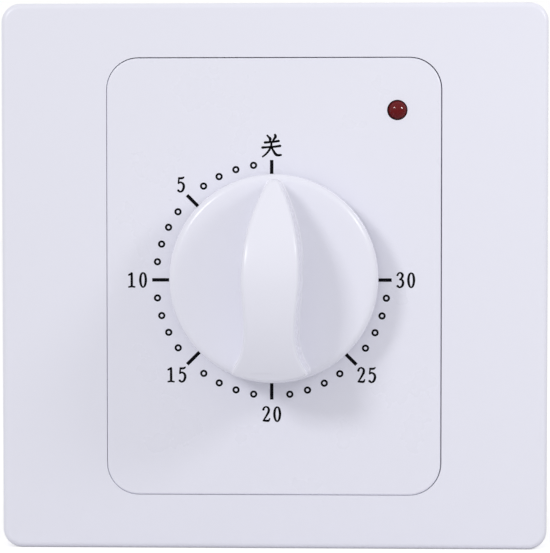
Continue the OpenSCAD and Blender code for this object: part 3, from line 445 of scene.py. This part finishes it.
# Escapement: a moulded nylon escape wheel, a steel pallet lever and a brass bar that swings with it.
# The lever and the bar are pressed on to one arbor.
nylon = moulded_plastic("natural_nylon", (0.78, 0.75, 0.66), cloud=0.08, grain_size=0.5, relief=0.004 * mm,
                        roughness=0.38, haze=0.1)
bar_brass = faced_brass("inertia_bar_brass", "pallet_set", spacing=0.2, tarnish=0.25, roughness=0.22)
dress(nylon, "escape_wheel")
dress(rolled_zinc_sheet, "pallet_lever")
dress(bar_brass, "inertia_bar")


# Cam switch: a nylon cam on the arbor's rear end lifts off a bronze leaf, which closes on a fixed blade.
# Both blades stand in a block of brown phenolic moulding, with brass clamps and screws for the mains wires.
phenolic = moulded_plastic("brown_phenolic", (0.105, 0.048, 0.022), cloud=0.45, grain_size=0.35,
                           relief=0.006 * mm, roughness=0.34, haze=0.14)
drawn_bronze = rubbed_metal("drawn_bronze", (0.70, 0.43, 0.23), stretch=(0.3, 7, 5), tarnish=0.25,
                            roughness=0.24, relief=0.003 * mm)
contact_silver = rubbed_metal("contact_silver", (0.80, 0.79, 0.76), stretch=(4, 4, 4), tarnish=0.2,
                              roughness=0.2, relief=0.002 * mm)
clamp_brass = rubbed_metal("clamp_brass", (0.72, 0.50, 0.20), stretch=(4, 4, 0.4), tarnish=0.3,
                           roughness=0.24, relief=0.004 * mm)
dress(nylon, "switch_cam")
dress(phenolic, "switch_block")
dress(drawn_bronze, "moving_contact", "fixed_contact")
dress(contact_silver, "contact_rivets")
dress(clamp_brass, "terminal_clamps")
dress(turned_zinc_steel, "block_screws", "terminal_screws")


# Lamp board: green circuit board on two pads of the base, with the lamp's leads and its series resistor.
# The resistor has a tan body with painted bands, each at its share of the body's length.
board_mask = moulded_plastic("green_solder_mask", (0.018, 0.11, 0.035), cloud=0.25, grain_size=0.6,
                             relief=0.004 * mm, roughness=0.32, haze=0.12)
dress(board_mask, "led_board")
dress(turned_zinc_steel, "led_leads")
body_tan = (0.62, 0.45, 0.26)
band_colours = {0.2: (0.02, 0.05, 0.3), 0.38: (0.2, 0.2, 0.2), 0.56: (0.25, 0.04, 0.01),
                0.8: (0.5, 0.35, 0.08)}
band_share = 0.08
resistor_low, resistor_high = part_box("led_resistor")
resistor_paint = moulded_plastic("resistor_paint", body_tan, cloud=0.05, grain_size=0.4, relief=0.003 * mm,
                                 roughness=0.35, haze=0.05)
paint_tree = resistor_paint.node_tree
along_x = add_node(paint_tree, "ShaderNodeSeparateXYZ", {0: millimetre_place(paint_tree)})["X"]
body_share = add_node(paint_tree, "ShaderNodeMapRange", {
    "Value": along_x, "From Min": resistor_low.x / mm, "From Max": resistor_high.x / mm})[0]
bands = paint_tree.nodes.new("ShaderNodeValToRGB")
bands.color_ramp.interpolation = "CONSTANT"
stops = bands.color_ramp.elements
stops.remove(stops[1])
stops[0].color = (*body_tan, 1)
for start, colour in band_colours.items():
    stops.new(start).color = (*colour, 1)
    stops.new(start + band_share).color = (*body_tan, 1)
set_inputs(paint_tree, bands, {"Fac": body_share})
set_inputs(paint_tree, paint_tree.nodes["Principled BSDF"], {"Base Color": bands.outputs["Color"]})
dress(resistor_paint, "led_resistor")


# Lamp wires: two lengths of red insulated hook-up wire, soldered under the board and pushed into the block.
# They pass a hole in the base and a notch in each plate, and run down behind the rear plate.
wire_d = 1.2 * mm
wire_sides = 16
wire_spacing = 0.5 * mm
wire_x = 15.2 * mm
wire_front = 3.5 * mm
wire_bend_depth = 13 * mm
wire_end = -18.15 * mm
wires = [{"top": 27.4 * mm, "depth": 17.0 * mm, "fall": 3.5 * mm},
         {"top": 29.0 * mm, "depth": 18.6 * mm, "fall": 5.1 * mm}]
level_runs, bend_runs, down_runs = 4, 4, 6
route_points = []
route_edges = []
for wire in wires:
    bend_reach = wire["depth"] - wire_bend_depth
    bend_end = wire["top"] - wire["fall"]
    route = []
    for k in range(level_runs + 1):
        route.append((wire["top"], wire_front - (wire_front + wire_bend_depth) * k / level_runs))
    for k in range(1, bend_runs):
        turn = math.radians(90 * k / bend_runs)
        route.append((wire["top"] - wire["fall"] * (1 - math.cos(turn)),
                      -wire_bend_depth - bend_reach * math.sin(turn)))
    for k in range(down_runs + 1):
        route.append((bend_end + (wire_end - bend_end) * k / down_runs, -wire["depth"]))
    first = len(route_points)
    route_points += [(wire_x, -front, height) for height, front in route]
    route_edges += [(k, k + 1) for k in range(first, len(route_points) - 1)]


def geometry_tree(name, inputs):
    """An empty Geometry Nodes tree with named inputs (label, type) and one geometry output."""
    tree = bpy.data.node_groups.new(name, "GeometryNodeTree")
    tree.is_modifier = True
    for label, kind in inputs:
        tree.interface.new_socket(label, in_out="INPUT", socket_type=kind)
    tree.interface.new_socket("Geometry", in_out="OUTPUT", socket_type="NodeSocketGeometry")
    result = tree.nodes.new("NodeGroupOutput").inputs["Geometry"]
    return tree, tree.nodes.new("NodeGroupInput").outputs, result


def finish_geometry(tree, shape, material, result):
    """Ends a tree with Realize Instances and Set Material."""
    real = add_node(tree, "GeometryNodeRealizeInstances", {0: shape})[0]
    painted = add_node(tree, "GeometryNodeSetMaterial", {"Geometry": real, "Material": material})[0]
    tree.links.new(painted, result)


def plain_piece(name, tree, values, start=None):
    """Runs a tree with its inputs set and keeps the result as an object with a plain mesh."""
    maker = bpy.data.objects.new(name + "_maker", start or bpy.data.meshes.new(name + "_start"))
    scene.collection.objects.link(maker)
    modifier = maker.modifiers.new(name, "NODES")
    modifier.node_group = tree
    sockets = {item.name: item.identifier for item in tree.interface.items_tree if item.in_out == "INPUT"}
    for label, value in values.items():
        modifier[sockets[label]] = value
    mesh = bpy.data.meshes.new_from_object(maker.evaluated_get(bpy.context.evaluated_depsgraph_get()))
    mesh.name = name
    bpy.data.objects.remove(maker)
    piece = bpy.data.objects.new(name, mesh)
    scene.collection.objects.link(piece)
    return piece


sleeve, given, result = geometry_tree(
    "sleeved_wire", [("Route", "NodeSocketGeometry"), ("Diameter", "NodeSocketFloat"),
                     ("Spacing", "NodeSocketFloat"), ("Material", "NodeSocketMaterial")])
curve = add_node(sleeve, "GeometryNodeMeshToCurve", {0: given["Route"]})[0]
curve = add_node(sleeve, "GeometryNodeCurveSplineType", {"Curve": curve}, spline_type="CATMULL_ROM")[0]
curve = add_node(sleeve, "GeometryNodeResampleCurve", {"Curve": curve, "Length": given["Spacing"]},
                 mode="LENGTH")[0]
section = add_node(sleeve, "GeometryNodeCurvePrimitiveCircle", {
    "Resolution": wire_sides, "Radius": number_node(sleeve, "MULTIPLY", given["Diameter"], 0.5)})[0]
tube = add_node(sleeve, "GeometryNodeCurveToMesh", {
    "Curve": curve, "Profile Curve": section, "Fill Caps": True})[0]
smooth = add_node(sleeve, "GeometryNodeSetShadeSmooth", {"Geometry": tube})[0]
finish_geometry(sleeve, smooth, given["Material"], result)

route_mesh = bpy.data.meshes.new("wire_routes")
route_mesh.from_pydata(route_points, route_edges, [])
wire_red = moulded_plastic("wire_insulation", (0.42, 0.018, 0.02), cloud=0.12, grain_size=0.6,
                           relief=0.004 * mm, roughness=0.3, haze=0.12)
lamp_wires = plain_piece("lamp_wires", sleeve, {
    "Diameter": wire_d, "Spacing": wire_spacing, "Material": wire_red}, route_mesh)
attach(lamp_wires, "housing")
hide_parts("led_wires")


# Pilot lamp: a 3 mm lamp cast in dark red diffusing resin, with a flange that stands on the board.
# Only its dome comes through the hole in the panel.
lamp_low, lamp_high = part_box("indicator_led")
lamp_x, lamp_z = (lamp_low.x + lamp_high.x) / 2, (lamp_low.z + lamp_high.z) / 2
lamp_h = lamp_high.y - lamp_low.y
lamp_r = 1.5 * mm
lamp_fillet = 0.1 * mm
flange_r = (lamp_high.x - lamp_low.x) / 2
flange_h = 1 * mm
flange_edge = 0.15 * mm
dome_end = math.radians(89.5)
dome_steps = 14
lamp_sides = 48


def revolved(profile, x, back_y, z, sides):
    """A closed solid of revolution about an axis along Y; the profile is (radius, height to the front)."""
    shape = bmesh.new()
    turns = [2 * math.pi * k / sides for k in range(sides)]
    rings = []
    for r, height in profile:
        rings.append([shape.verts.new((x + r * math.cos(turn), back_y - height, z + r * math.sin(turn)))
                      for turn in turns])
    for ring, following in zip(rings, rings[1:]):
        for k in range(sides):
            shape.faces.new((ring[k], ring[(k + 1) % sides], following[(k + 1) % sides], following[k]))
    shape.faces.new(rings[0])
    shape.faces.new(rings[-1])
    return shape


lamp_profile = [(flange_r - flange_edge, 0), (flange_r, flange_edge), (flange_r, flange_h - flange_edge),
                (flange_r - flange_edge, flange_h), (lamp_r + lamp_fillet, flange_h),
                (lamp_r, flange_h + lamp_fillet)]
for step in range(dome_steps + 1):
    angle = dome_end * step / dome_steps
    lamp_profile.append((lamp_r * math.cos(angle), lamp_h - lamp_r + lamp_r * math.sin(angle)))
resin = moulded_plastic("dark_red_resin", (0.152, 0.003, 0.005), cloud=0.3, grain_size=0.5,
                        relief=0.0002 * mm, roughness=0.05, haze=0.02, specular=0.2)
lamp_lens = link_mesh("lamp_lens", revolved(lamp_profile, lamp_x, lamp_high.y, lamp_z, lamp_sides), resin)
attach(lamp_lens, "housing")
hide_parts("indicator_led")
# The clear dome mirrors two bare bulbs, which shine on it alone so that the plastics stay evenly lit
lens_only = bpy.data.collections.new("lens_only")
lens_only.objects.link(lamp_lens)
left_glint = softbox("left_glint", towards=(-0.60, -0.63, 0.49), distance=0.5, size=0.1, level=0.5)
right_glint = softbox("right_glint", towards=(0.77, -0.51, 0.39), distance=0.5, size=0.1, level=1.0)
for bulb in (left_glint, right_glint):
    bulb.visible_diffuse = False
    bulb.light_linking.receiver_collection = lens_only


# Face frame: a thin square shell of glossy white plastic with rounded edges, clipped over the base.
# Its mould is polished, so only a faint orange peel shows in the gloss.
white = (0.826, 0.826, 0.918)
frame_white = moulded_plastic("frame_white_gloss", white, cloud=0.005, grain_size=1.4, relief=0.0025 * mm,
                              roughness=0.3, haze=0.05)
dress(frame_white, "face_frame")


# Inner panel: a flush plate of the same white plastic in the frame's window, hooked into the base.
# It carries the printed dial, a hole for the shaft and one for the lamp.
panel_white = moulded_plastic("panel_white_gloss", white, cloud=0.005, grain_size=1.1, relief=0.002 * mm,
                              roughness=0.28, haze=0.05)
dress(panel_white, "inner_panel")
panel_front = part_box("inner_panel")[0].y


# Dial printing: black pad-printed marks, minute rings, numerals and the off sign on the panel.
# The print runs anticlockwise from the off mark at the top and sits a little off the knob's axis.
ink_t = 0.015 * mm
print_x = arbor_x - 0.33 * mm
print_z = arbor_z - 0.25 * mm
print_centre = (print_x, panel_front, print_z)
mark_count = 7
mark_step = math.radians(45)
first_mark = math.radians(90)
mark_inner_r = 16.05 * mm
mark_outer_r = 18.85 * mm
mark_w = 0.54 * mm
minutes_between = 4
minute_step = mark_step / (minutes_between + 1)
minute_count = (mark_count - 1) * minutes_between
minute_r = 18.24 * mm
minute_ring_r = 0.41 * mm
minute_line = 0.33 * mm
minute_sides = 28
mottle_per_mm = 2.5
thinnest_shade = 0.8
mottle_haze = 0.15
ink_inputs = [("Colour", "NodeSocketColor", (1, 1, 1, 1)), ("Cover", "NodeSocketFloat", 0.2),
              ("Roughness", "NodeSocketFloat", 0.4)]
ink_film, given, made = effect_group("ink_film", ink_inputs, finish_outputs)
mottle = noise_node(ink_film, millimetre_place(ink_film), mottle_per_mm, detail=3)
shade = number_node(ink_film, "MULTIPLY_ADD", mottle, given["Cover"], thinnest_shade)
ink_film.links.new(shaded_colour(ink_film, given["Colour"], shade), made["Colour"])
dull = number_node(ink_film, "MULTIPLY_ADD", mottle, mottle_haze, given["Roughness"])
ink_film.links.new(dull, made["Roughness"])
ink_film.links.new(mottle, made["Height"])
ink_values = {"Colour": (0.003, 0.003, 0.005, 1), "Cover": 0.6, "Roughness": 0.4}
black_ink = finish_material("black_ink", ink_film, ink_values, relief=0.001 * mm, specular=0.04)

round_dial, given, result = geometry_tree(
    "marks_round_dial", [("Count", "NodeSocketInt"), ("Skip After", "NodeSocketInt"),
                         ("First Angle", "NodeSocketFloat"), ("Step", "NodeSocketFloat"),
                         ("Radius", "NodeSocketFloat"), ("Centre", "NodeSocketVector"),
                         ("Mark", "NodeSocketObject"), ("Material", "NodeSocketMaterial")])
index = add_node(round_dial, "GeometryNodeInputIndex")[0]
skipped = number_node(round_dial, "FLOOR", number_node(round_dial, "DIVIDE", index, given["Skip After"]))
steps = number_node(round_dial, "ADD", index, skipped)
turn = number_node(round_dial, "MULTIPLY_ADD", steps, given["Step"], given["First Angle"])
across = number_node(round_dial, "MULTIPLY", number_node(round_dial, "COSINE", turn), given["Radius"])
upwards = number_node(round_dial, "MULTIPLY", number_node(round_dial, "SINE", turn), given["Radius"])
spot = add_node(round_dial, "ShaderNodeCombineXYZ", {"X": across, "Z": upwards})[0]
on_dial = vector_node(round_dial, "ADD", spot, given["Centre"])[0]
places = add_node(round_dial, "GeometryNodePoints", {"Count": given["Count"], "Position": on_dial})[0]
back_turn = number_node(round_dial, "MULTIPLY", turn, -1)
facing = add_node(round_dial, "ShaderNodeCombineXYZ", {"Y": back_turn})[0]
master_shape = add_node(round_dial, "GeometryNodeObjectInfo", {"Object": given["Mark"]})["Geometry"]
copies = add_node(round_dial, "GeometryNodeInstanceOnPoints", {
    "Points": places, "Instance": master_shape, "Rotation": facing})[0]
finish_geometry(round_dial, copies, given["Material"], result)


def print_shape(name, stations, line_w):
    """A master shape for the dial tree, a line of ink along stations, kept out of the picture."""
    shape = bmesh.new()
    bar_along(shape, stations, [line_w / 2] * len(stations), 0, -ink_t)
    master = link_mesh(name, shape, black_ink)
    master.hide_render = True
    return master


mark_half = (mark_outer_r - mark_inner_r) / 2
mark_ends = [(Vector((end, 0)), Vector((0, 1))) for end in (-mark_half, mark_half)]
mark_master = print_shape("mark_master", mark_ends, mark_w)
ring_turns = [2 * math.pi * k / minute_sides for k in range(minute_sides)]
ring_ways = [Vector((math.cos(turn), math.sin(turn))) for turn in ring_turns]
ring_stations = [(way * minute_ring_r, way) for way in ring_ways + ring_ways[:1]]
ring_master = print_shape("ring_master", ring_stations, minute_line)
dial_marks = plain_piece("dial_marks", round_dial, {
    "Count": mark_count, "Skip After": mark_count, "First Angle": first_mark, "Step": mark_step,
    "Radius": (mark_inner_r + mark_outer_r) / 2, "Centre": print_centre, "Mark": mark_master,
    "Material": black_ink})
minute_rings = plain_piece("minute_rings", round_dial, {
    "Count": minute_count, "Skip After": minutes_between, "First Angle": first_mark + minute_step,
    "Step": minute_step, "Radius": minute_r, "Centre": print_centre, "Mark": ring_master,
    "Material": black_ink})
for master in (mark_master, ring_master):
    bpy.data.objects.remove(master)

# Each stroke of a sign is a list of (x, y, width) in millimetres from the sign's middle
numeral_strokes = {
    "0": [[(0, 1.17, 0.16), (0.34, 0.85, 0.28), (0.5, 0, 0.36), (0.34, -0.85, 0.28), (0, -1.17, 0.16),
           (-0.34, -0.85, 0.28), (-0.5, 0, 0.36), (-0.34, 0.85, 0.28), (0, 1.17, 0.16)]],
    "1": [[(-0.6, 0.78, 0.2), (-0.34, 0.9, 0.24), (-0.08, 1.06, 0.2)],
          [(-0.08, 1.04, 0.3), (-0.08, 0, 0.34), (-0.08, -1.02, 0.34)],
          [(-0.6, -1.14, 0.18), (-0.08, -1.08, 0.22), (0.44, -1.14, 0.18)]],
    "2": [[(-0.52, 0.72, 0.34), (-0.38, 1.02, 0.2), (0.02, 1.16, 0.18), (0.42, 0.9, 0.3), (0.42, 0.42, 0.34),
           (0.08, -0.2, 0.26), (-0.5, -1.04, 0.16)],
          [(-0.52, -1.06, 0.2), (0, -1.08, 0.3), (0.4, -1.06, 0.3), (0.62, -0.74, 0.12)]],
    "3": [[(-0.5, 0.78, 0.26), (-0.3, 1.08, 0.18), (0.08, 1.16, 0.2), (0.42, 0.85, 0.34), (0.3, 0.38, 0.26),
           (-0.1, 0.1, 0.14)],
          [(-0.1, 0.1, 0.14), (0.35, -0.02, 0.26), (0.52, -0.5, 0.36), (0.3, -0.98, 0.3),
           (-0.12, -1.16, 0.2), (-0.46, -0.96, 0.34)]],
    "5": [[(-0.36, 1.02, 0.26), (0.0, 1.0, 0.3), (0.34, 1.06, 0.26), (0.52, 1.2, 0.12)],
          [(-0.36, 1.06, 0.18), (-0.46, 0.2, 0.18)],
          [(-0.46, 0.2, 0.18), (-0.08, 0.36, 0.2), (0.38, 0.1, 0.3), (0.5, -0.4, 0.36), (0.26, -0.96, 0.3),
           (-0.16, -1.16, 0.2), (-0.48, -0.96, 0.34)]]}
off_strokes = [
    [(0.52, 1.72, 0.26), (0.6, 1.42, 0.34), (0.36, 1.05, 0.26), (0.14, 0.62, 0.2)],
    [(-0.7, 1.62, 0.18), (-0.42, 1.32, 0.24), (-0.24, 1.08, 0.36), (-0.3, 0.66, 0.2)],
    [(1.08, 0.76, 0.3), (0.4, 0.64, 0.24), (-0.4, 0.56, 0.24), (-1.06, 0.52, 0.3)],
    [(1.32, -0.02, 0.3), (0.5, -0.14, 0.24), (-0.6, -0.22, 0.24), (-1.46, -0.28, 0.3)],
    [(-0.06, 0.6, 0.2), (-0.08, 0.0, 0.26), (-0.36, -0.62, 0.24), (-0.86, -1.26, 0.2), (-1.42, -1.7, 0.16)],
    [(0.0, -0.28, 0.2), (0.3, -0.84, 0.26), (0.66, -1.36, 0.34), (1.0, -1.48, 0.3), (1.44, -1.44, 0.24)]]
stroke_steps = 6
cap_steps = 4
closed_gap = 0.001
ink_spread = 0.11


def curve_through(points):
    """A smooth line through (x, y, width) points."""
    line = [Vector(point) for point in points]
    first, last = line[0] * 2 - line[1], line[-1] * 2 - line[-2]
    guide = [first, *line, last]
    fine = []
    for k in range(1, len(guide) - 2):
        before, start, end, after = guide[k - 1:k + 3]
        for step in range(stroke_steps):
            t = step / stroke_steps
            slope = (end - before) * t
            bend = (2 * before - 5 * start + 4 * end - after) * t * t
            twist = (3 * start - before - 3 * end + after) * t ** 3
            fine.append(0.5 * (2 * start + slope + bend + twist))
    fine.append(line[-1])
    return fine


def round_cap(station, half, outwards):
    """Stations and half widths that end a stroke in a half circle, from its end outwards."""
    point, side = station
    away = Vector((-side.y, side.x)) * outwards
    turns = [math.radians(90 * k / cap_steps) for k in range(1, cap_steps + 1)]
    return [((point + away * half * math.sin(turn), side), half * math.cos(turn)) for turn in turns]


def ink_stroke(shape, points, x, z, scales, weight):
    """Adds one stroke with round ends, raised by the ink's thickness from the panel."""
    scale_x, scale_z = scales
    fine = curve_through([(scale_x * across, scale_z * up, ink_spread + weight * width)
                          for across, up, width in points])
    stations = ribbon_stations([(point.x, point.y) for point in fine])
    body = [(station, point.z / 2) for station, point in zip(stations, fine)]
    if (fine[0] - fine[-1]).length >= closed_gap:
        body = round_cap(*body[0], 1)[::-1] + body + round_cap(*body[-1], -1)
    placed = [(Vector((x + point.x * mm, z + point.y * mm)), side) for (point, side), half in body]
    bar_along(shape, placed, [half * mm for station, half in body], panel_front, panel_front - ink_t)


numeral_r = 21.15 * mm
numeral_advance = 1.72 * mm
numeral_scales = (0.88, 0.985)
numeral_weight = 0.8
numeral_nudge = {"5": (0.68 * mm, 0.05 * mm), "30": (-0.1 * mm, 0)}
off_sign_r = 21.08 * mm
off_scales = (1, 1)
off_weight = 0.95
sign_smoothing = 60
numerals = bmesh.new()
for k in range(1, mark_count):
    label = str((minutes_between + 1) * k)
    nudge_x, nudge_z = numeral_nudge.get(label, (0, 0))
    angle = first_mark + k * mark_step
    for place, digit in enumerate(label):
        shift = (place - (len(label) - 1) / 2) * numeral_advance
        for stroke in numeral_strokes[digit]:
            ink_stroke(numerals, stroke, print_x + numeral_r * math.cos(angle) + shift + nudge_x,
                       print_z + numeral_r * math.sin(angle) + nudge_z, numeral_scales, numeral_weight)
off_sign = bmesh.new()
for stroke in off_strokes:
    ink_stroke(off_sign, stroke, print_x, print_z + off_sign_r, off_scales, off_weight)
for piece in (dial_marks, minute_rings, link_mesh("dial_numerals", numerals, black_ink, sign_smoothing),
              link_mesh("off_sign", off_sign, black_ink, sign_smoothing)):
    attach(piece, "housing")


# Knob: one glossy white moulding, pushed on to the shaft, where it sits with a little play and tilt.
# A wedge-shaped grip stands across a flat skirt with a rounded rim: narrow and low at the nose, which
# points at the mark, and flared at the tail.
knob_low, knob_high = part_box("knob")
knob_r = (knob_high.x - knob_low.x) / 2
knob_h = knob_high.y - knob_low.y
rim_h = 6.3 * mm
rim_round = 1.1 * mm
rim_fall = 0.2 * mm
rim_fall_w = 3 * mm
scoop_dish = 0.2 * mm
nose_drop = 8.2 * mm
nose_power = 2.1
tail_drop = 5.4 * mm
tail_power = 2
crown_r = 27 * mm
grip_w = 8.6 * mm
grip_tip_w = 0.3 * mm
grip_taper = 2.3
grip_waist = 2.5 * mm
grip_waist_power = 1.5
grip_flare = 6.5 * mm
grip_flare_power = 4
nose_inset = 0.95 * mm
tail_inset = 0.72 * mm
nose_corner = 0.35 * mm
tail_corner = 0.8 * mm
grip_edge = 0.5 * mm
grip_foot = 0.3 * mm
draft = math.tan(math.radians(1))
grip_lean = math.radians(1.0)
knob_play_x, knob_play_z = 0.22 * mm, 0.14 * mm
knob_tilt = math.tan(math.radians(0.8))
halvings = 40
side_steps, corner_steps, arc_steps = 110, 8, 22
crown_steps, edge_steps, wall_steps, foot_steps, skirt_steps, rim_steps = 24, 5, 4, 4, 8, 8


def side_half(v):
    """Half the grip's width at a height on the knob, before its ends cut it off."""
    u = v / knob_r
    if u >= 0:
        return grip_tip_w / 2 + (grip_w - grip_tip_w) / 2 * (1 - u ** grip_taper)
    return grip_w / 2 - grip_waist * (-u) ** grip_waist_power + grip_flare * (-u) ** grip_flare_power


def side_end(inside, outside, end_r):
    """The point where the grip's side meets the circle of its end, found by halving."""
    for _ in range(halvings):
        middle = (inside + outside) / 2
        if math.hypot(side_half(middle), middle) < end_r:
            inside = middle
        else:
            outside = middle
    return Vector((side_half(inside), inside))


def rounded_corner(before, corner, after, reach):
    """Joins two lines that meet at a corner by a curve that leaves them at the given reach."""
    before = [point for point in before if (point - corner).length > reach]
    after = [point for point in after if (point - corner).length > reach]
    curve = []
    for k in range(1, corner_steps):
        t = k / corner_steps
        curve.append(before[-1] * (1 - t) ** 2 + corner * (2 * t * (1 - t)) + after[0] * t ** 2)
    return before + curve + after


def end_arc(first, last, end_r):
    """Points on the circle of one of the grip's ends, between two clock angles."""
    turns = [first + (last - first) * k / arc_steps for k in range(arc_steps + 1)]
    return [Vector((end_r * math.sin(turn), end_r * math.cos(turn))) for turn in turns]


nose = side_end(0, knob_r, knob_r - nose_inset)
tail = side_end(0, -knob_r, knob_r - tail_inset)
nose_turn = math.atan2(nose.x, nose.y)
tail_turn = math.atan2(tail.x, tail.y)
side_heights = [nose.y + (tail.y - nose.y) * k / side_steps for k in range(side_steps + 1)]
grip_side = [Vector((side_half(v), v)) for v in side_heights]
grip_side = rounded_corner(end_arc(0, nose_turn, nose.length), nose, grip_side, nose_corner)
grip_side = rounded_corner(grip_side, tail, end_arc(tail_turn, math.pi, tail.length), tail_corner)
grip_outline = grip_side + [Vector((-point.x, point.y)) for point in reversed(grip_side[1:-1])]
loop_size = len(grip_outline)
outwards = []
for k in range(loop_size):
    along = grip_outline[(k + 1) % loop_size] - grip_outline[k - 1]
    outwards.append(Vector((-along.y, along.x)).normalized())
walked = [0.0]
for point, following in zip(grip_side, grip_side[1:]):
    walked.append(walked[-1] + (following - point).length)
nose_walk = next(walk for walk, point in zip(walked, grip_side) if point.y < nose.y)
tail_walk = next(walk for walk, point in zip(walked, grip_side) if point.y < tail.y)


def rim_turn(walk):
    """Clock angle on the rim that is joined to the grip's right side after a walk along it."""
    if walk < nose_walk:
        return nose_turn * walk / nose_walk
    if walk > tail_walk:
        return tail_turn + (math.pi - tail_turn) * (walk - tail_walk) / (walked[-1] - tail_walk)
    return nose_turn + (tail_turn - nose_turn) * (walk - nose_walk) / (tail_walk - nose_walk)


rim_side = [Vector((math.sin(rim_turn(walk)), math.cos(rim_turn(walk)))) for walk in walked]
rim_directions = rim_side + [Vector((-way.x, way.y)) for way in reversed(rim_side[1:-1])]


def crown_height(x, v):
    """Height of the grip's crown, which curves down to the nose and less to the tail."""
    along = nose_drop * (v / knob_r) ** nose_power if v > 0 else tail_drop * (v / knob_r) ** tail_power
    return knob_h - along - x * x / (2 * crown_r)


def skirt_height(r):
    """Height of the skirt, which is dished a little and falls to its rounded rim."""
    inside = max(knob_r - r, 0)
    fall = rim_fall * max(1 - inside / rim_fall_w, 0) ** 2
    if inside < rim_round:
        fall += rim_round - math.sqrt(rim_round ** 2 - (rim_round - inside) ** 2)
    return rim_h - scoop_dish * max(1 - (r / (knob_r - rim_round)) ** 2, 0) - fall


# Loops of (x, v, height) run from the crown's edge down the grip's wall and out over the skirt to the rim
loops = []
for k in range(edge_steps + 1):
    angle = math.radians(90 * k / edge_steps)
    places = [point - out * grip_edge * (1 - math.sin(angle)) for point, out in zip(grip_outline, outwards)]
    loops.append([(p.x, p.y, crown_height(p.x, p.y) - grip_edge * (1 - math.cos(angle))) for p in places])
wall_top = loops[-1]
for k in range(1, wall_steps + 1):
    ring = []
    for (x, v, top), out in zip(wall_top, outwards):
        drop = (top - skirt_height(math.hypot(x, v)) - grip_foot) * k / wall_steps
        ring.append((x + out.x * drop * draft, v + out.y * drop * draft, top - drop))
    loops.append(ring)
wall_foot = loops[-1]
for k in range(1, foot_steps + 1):
    angle = math.radians(90 * k / foot_steps)
    spread = grip_foot * (1 - math.cos(angle))
    ring = []
    for (x, v, height), out in zip(wall_foot, outwards):
        x, v = x + out.x * spread, v + out.y * spread
        ring.append((x, v, skirt_height(math.hypot(x, v)) + grip_foot * (1 - math.sin(angle))))
    loops.append(ring)
foot = [Vector((x, v)) for x, v, height in loops[-1]]
rim_start = [way * max(knob_r - rim_round, point.length) for way, point in zip(rim_directions, foot)]
for k in range(1, skirt_steps + 1):
    ring = [point + (start - point) * k / skirt_steps for point, start in zip(foot, rim_start)]
    loops.append([(p.x, p.y, skirt_height(p.length)) for p in ring])
for k in range(1, rim_steps + 1):
    share = math.sin(math.radians(90 * k / rim_steps))
    ring = [start + (way * knob_r - start) * share for way, start in zip(rim_directions, rim_start)]
    loops.append([(p.x, p.y, skirt_height(p.length)) for p in ring])

# Underside: a hollow skirt round a boss with the shaft's socket
knob_wall = 1.8 * mm
boss_r = 4.8 * mm
socket_r = 3.05 * mm
socket_h = 11.7 * mm
hollow_h = 3.4 * mm
lower_edge = 0.35 * mm
edge_middle = 0.3 * lower_edge
under = [(knob_r, lower_edge), (knob_r - edge_middle, edge_middle), (knob_r - lower_edge, 0),
         (knob_r - knob_wall, 0), (knob_r - knob_wall, hollow_h), (boss_r, hollow_h), (boss_r, 0),
         (socket_r, 0), (socket_r, socket_h)]
loops.extend([(way.x * r, way.y * r, height) for way in rim_directions] for r, height in under)

knob_shape = bmesh.new()


def knob_vertices(points):
    """Vertices of the knob, which leans and sits a little off its shaft except at the boss round it."""
    sine, cosine = math.sin(grip_lean), math.cos(grip_lean)
    vertices = []
    for x, v, height in points:
        play = 0 if height < socket_h and math.hypot(x, v) <= boss_r + lower_edge else 1
        across = arbor_x + x * cosine + v * sine + play * (knob_play_x - height * knob_tilt)
        up = arbor_z + v * cosine - x * sine + play * knob_play_z
        vertices.append(knob_shape.verts.new((across, knob_high.y - height, up)))
    return vertices


rings = [knob_vertices(loop) for loop in loops]
for ring, following in zip(rings, rings[1:]):
    for k in range(loop_size):
        after = (k + 1) % loop_size
        knob_shape.faces.new((ring[k], ring[after], following[after], following[k]))
knob_shape.faces.new(rings[-1])
crown = []
for x, v, height in loops[0][:len(grip_side)]:
    across = [x * (2 * k / crown_steps - 1) for k in range(crown_steps + 1)]
    crown.append(knob_vertices([(place, v, crown_height(place, v)) for place in across]))
for row, below in zip(crown, crown[1:]):
    for k in range(crown_steps):
        knob_shape.faces.new((row[k], row[k + 1], below[k + 1], below[k]))
knob_white = moulded_plastic("knob_white_gloss", (0.835, 0.835, 0.927), cloud=0.012, grain_size=1.2,
                             relief=0.0015 * mm, roughness=0.24, haze=0.05)
knob_moulding = link_mesh("knob_moulding", knob_shape, knob_white, sharp_angle=50)
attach(knob_moulding, "knob_arbor")
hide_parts("knob")
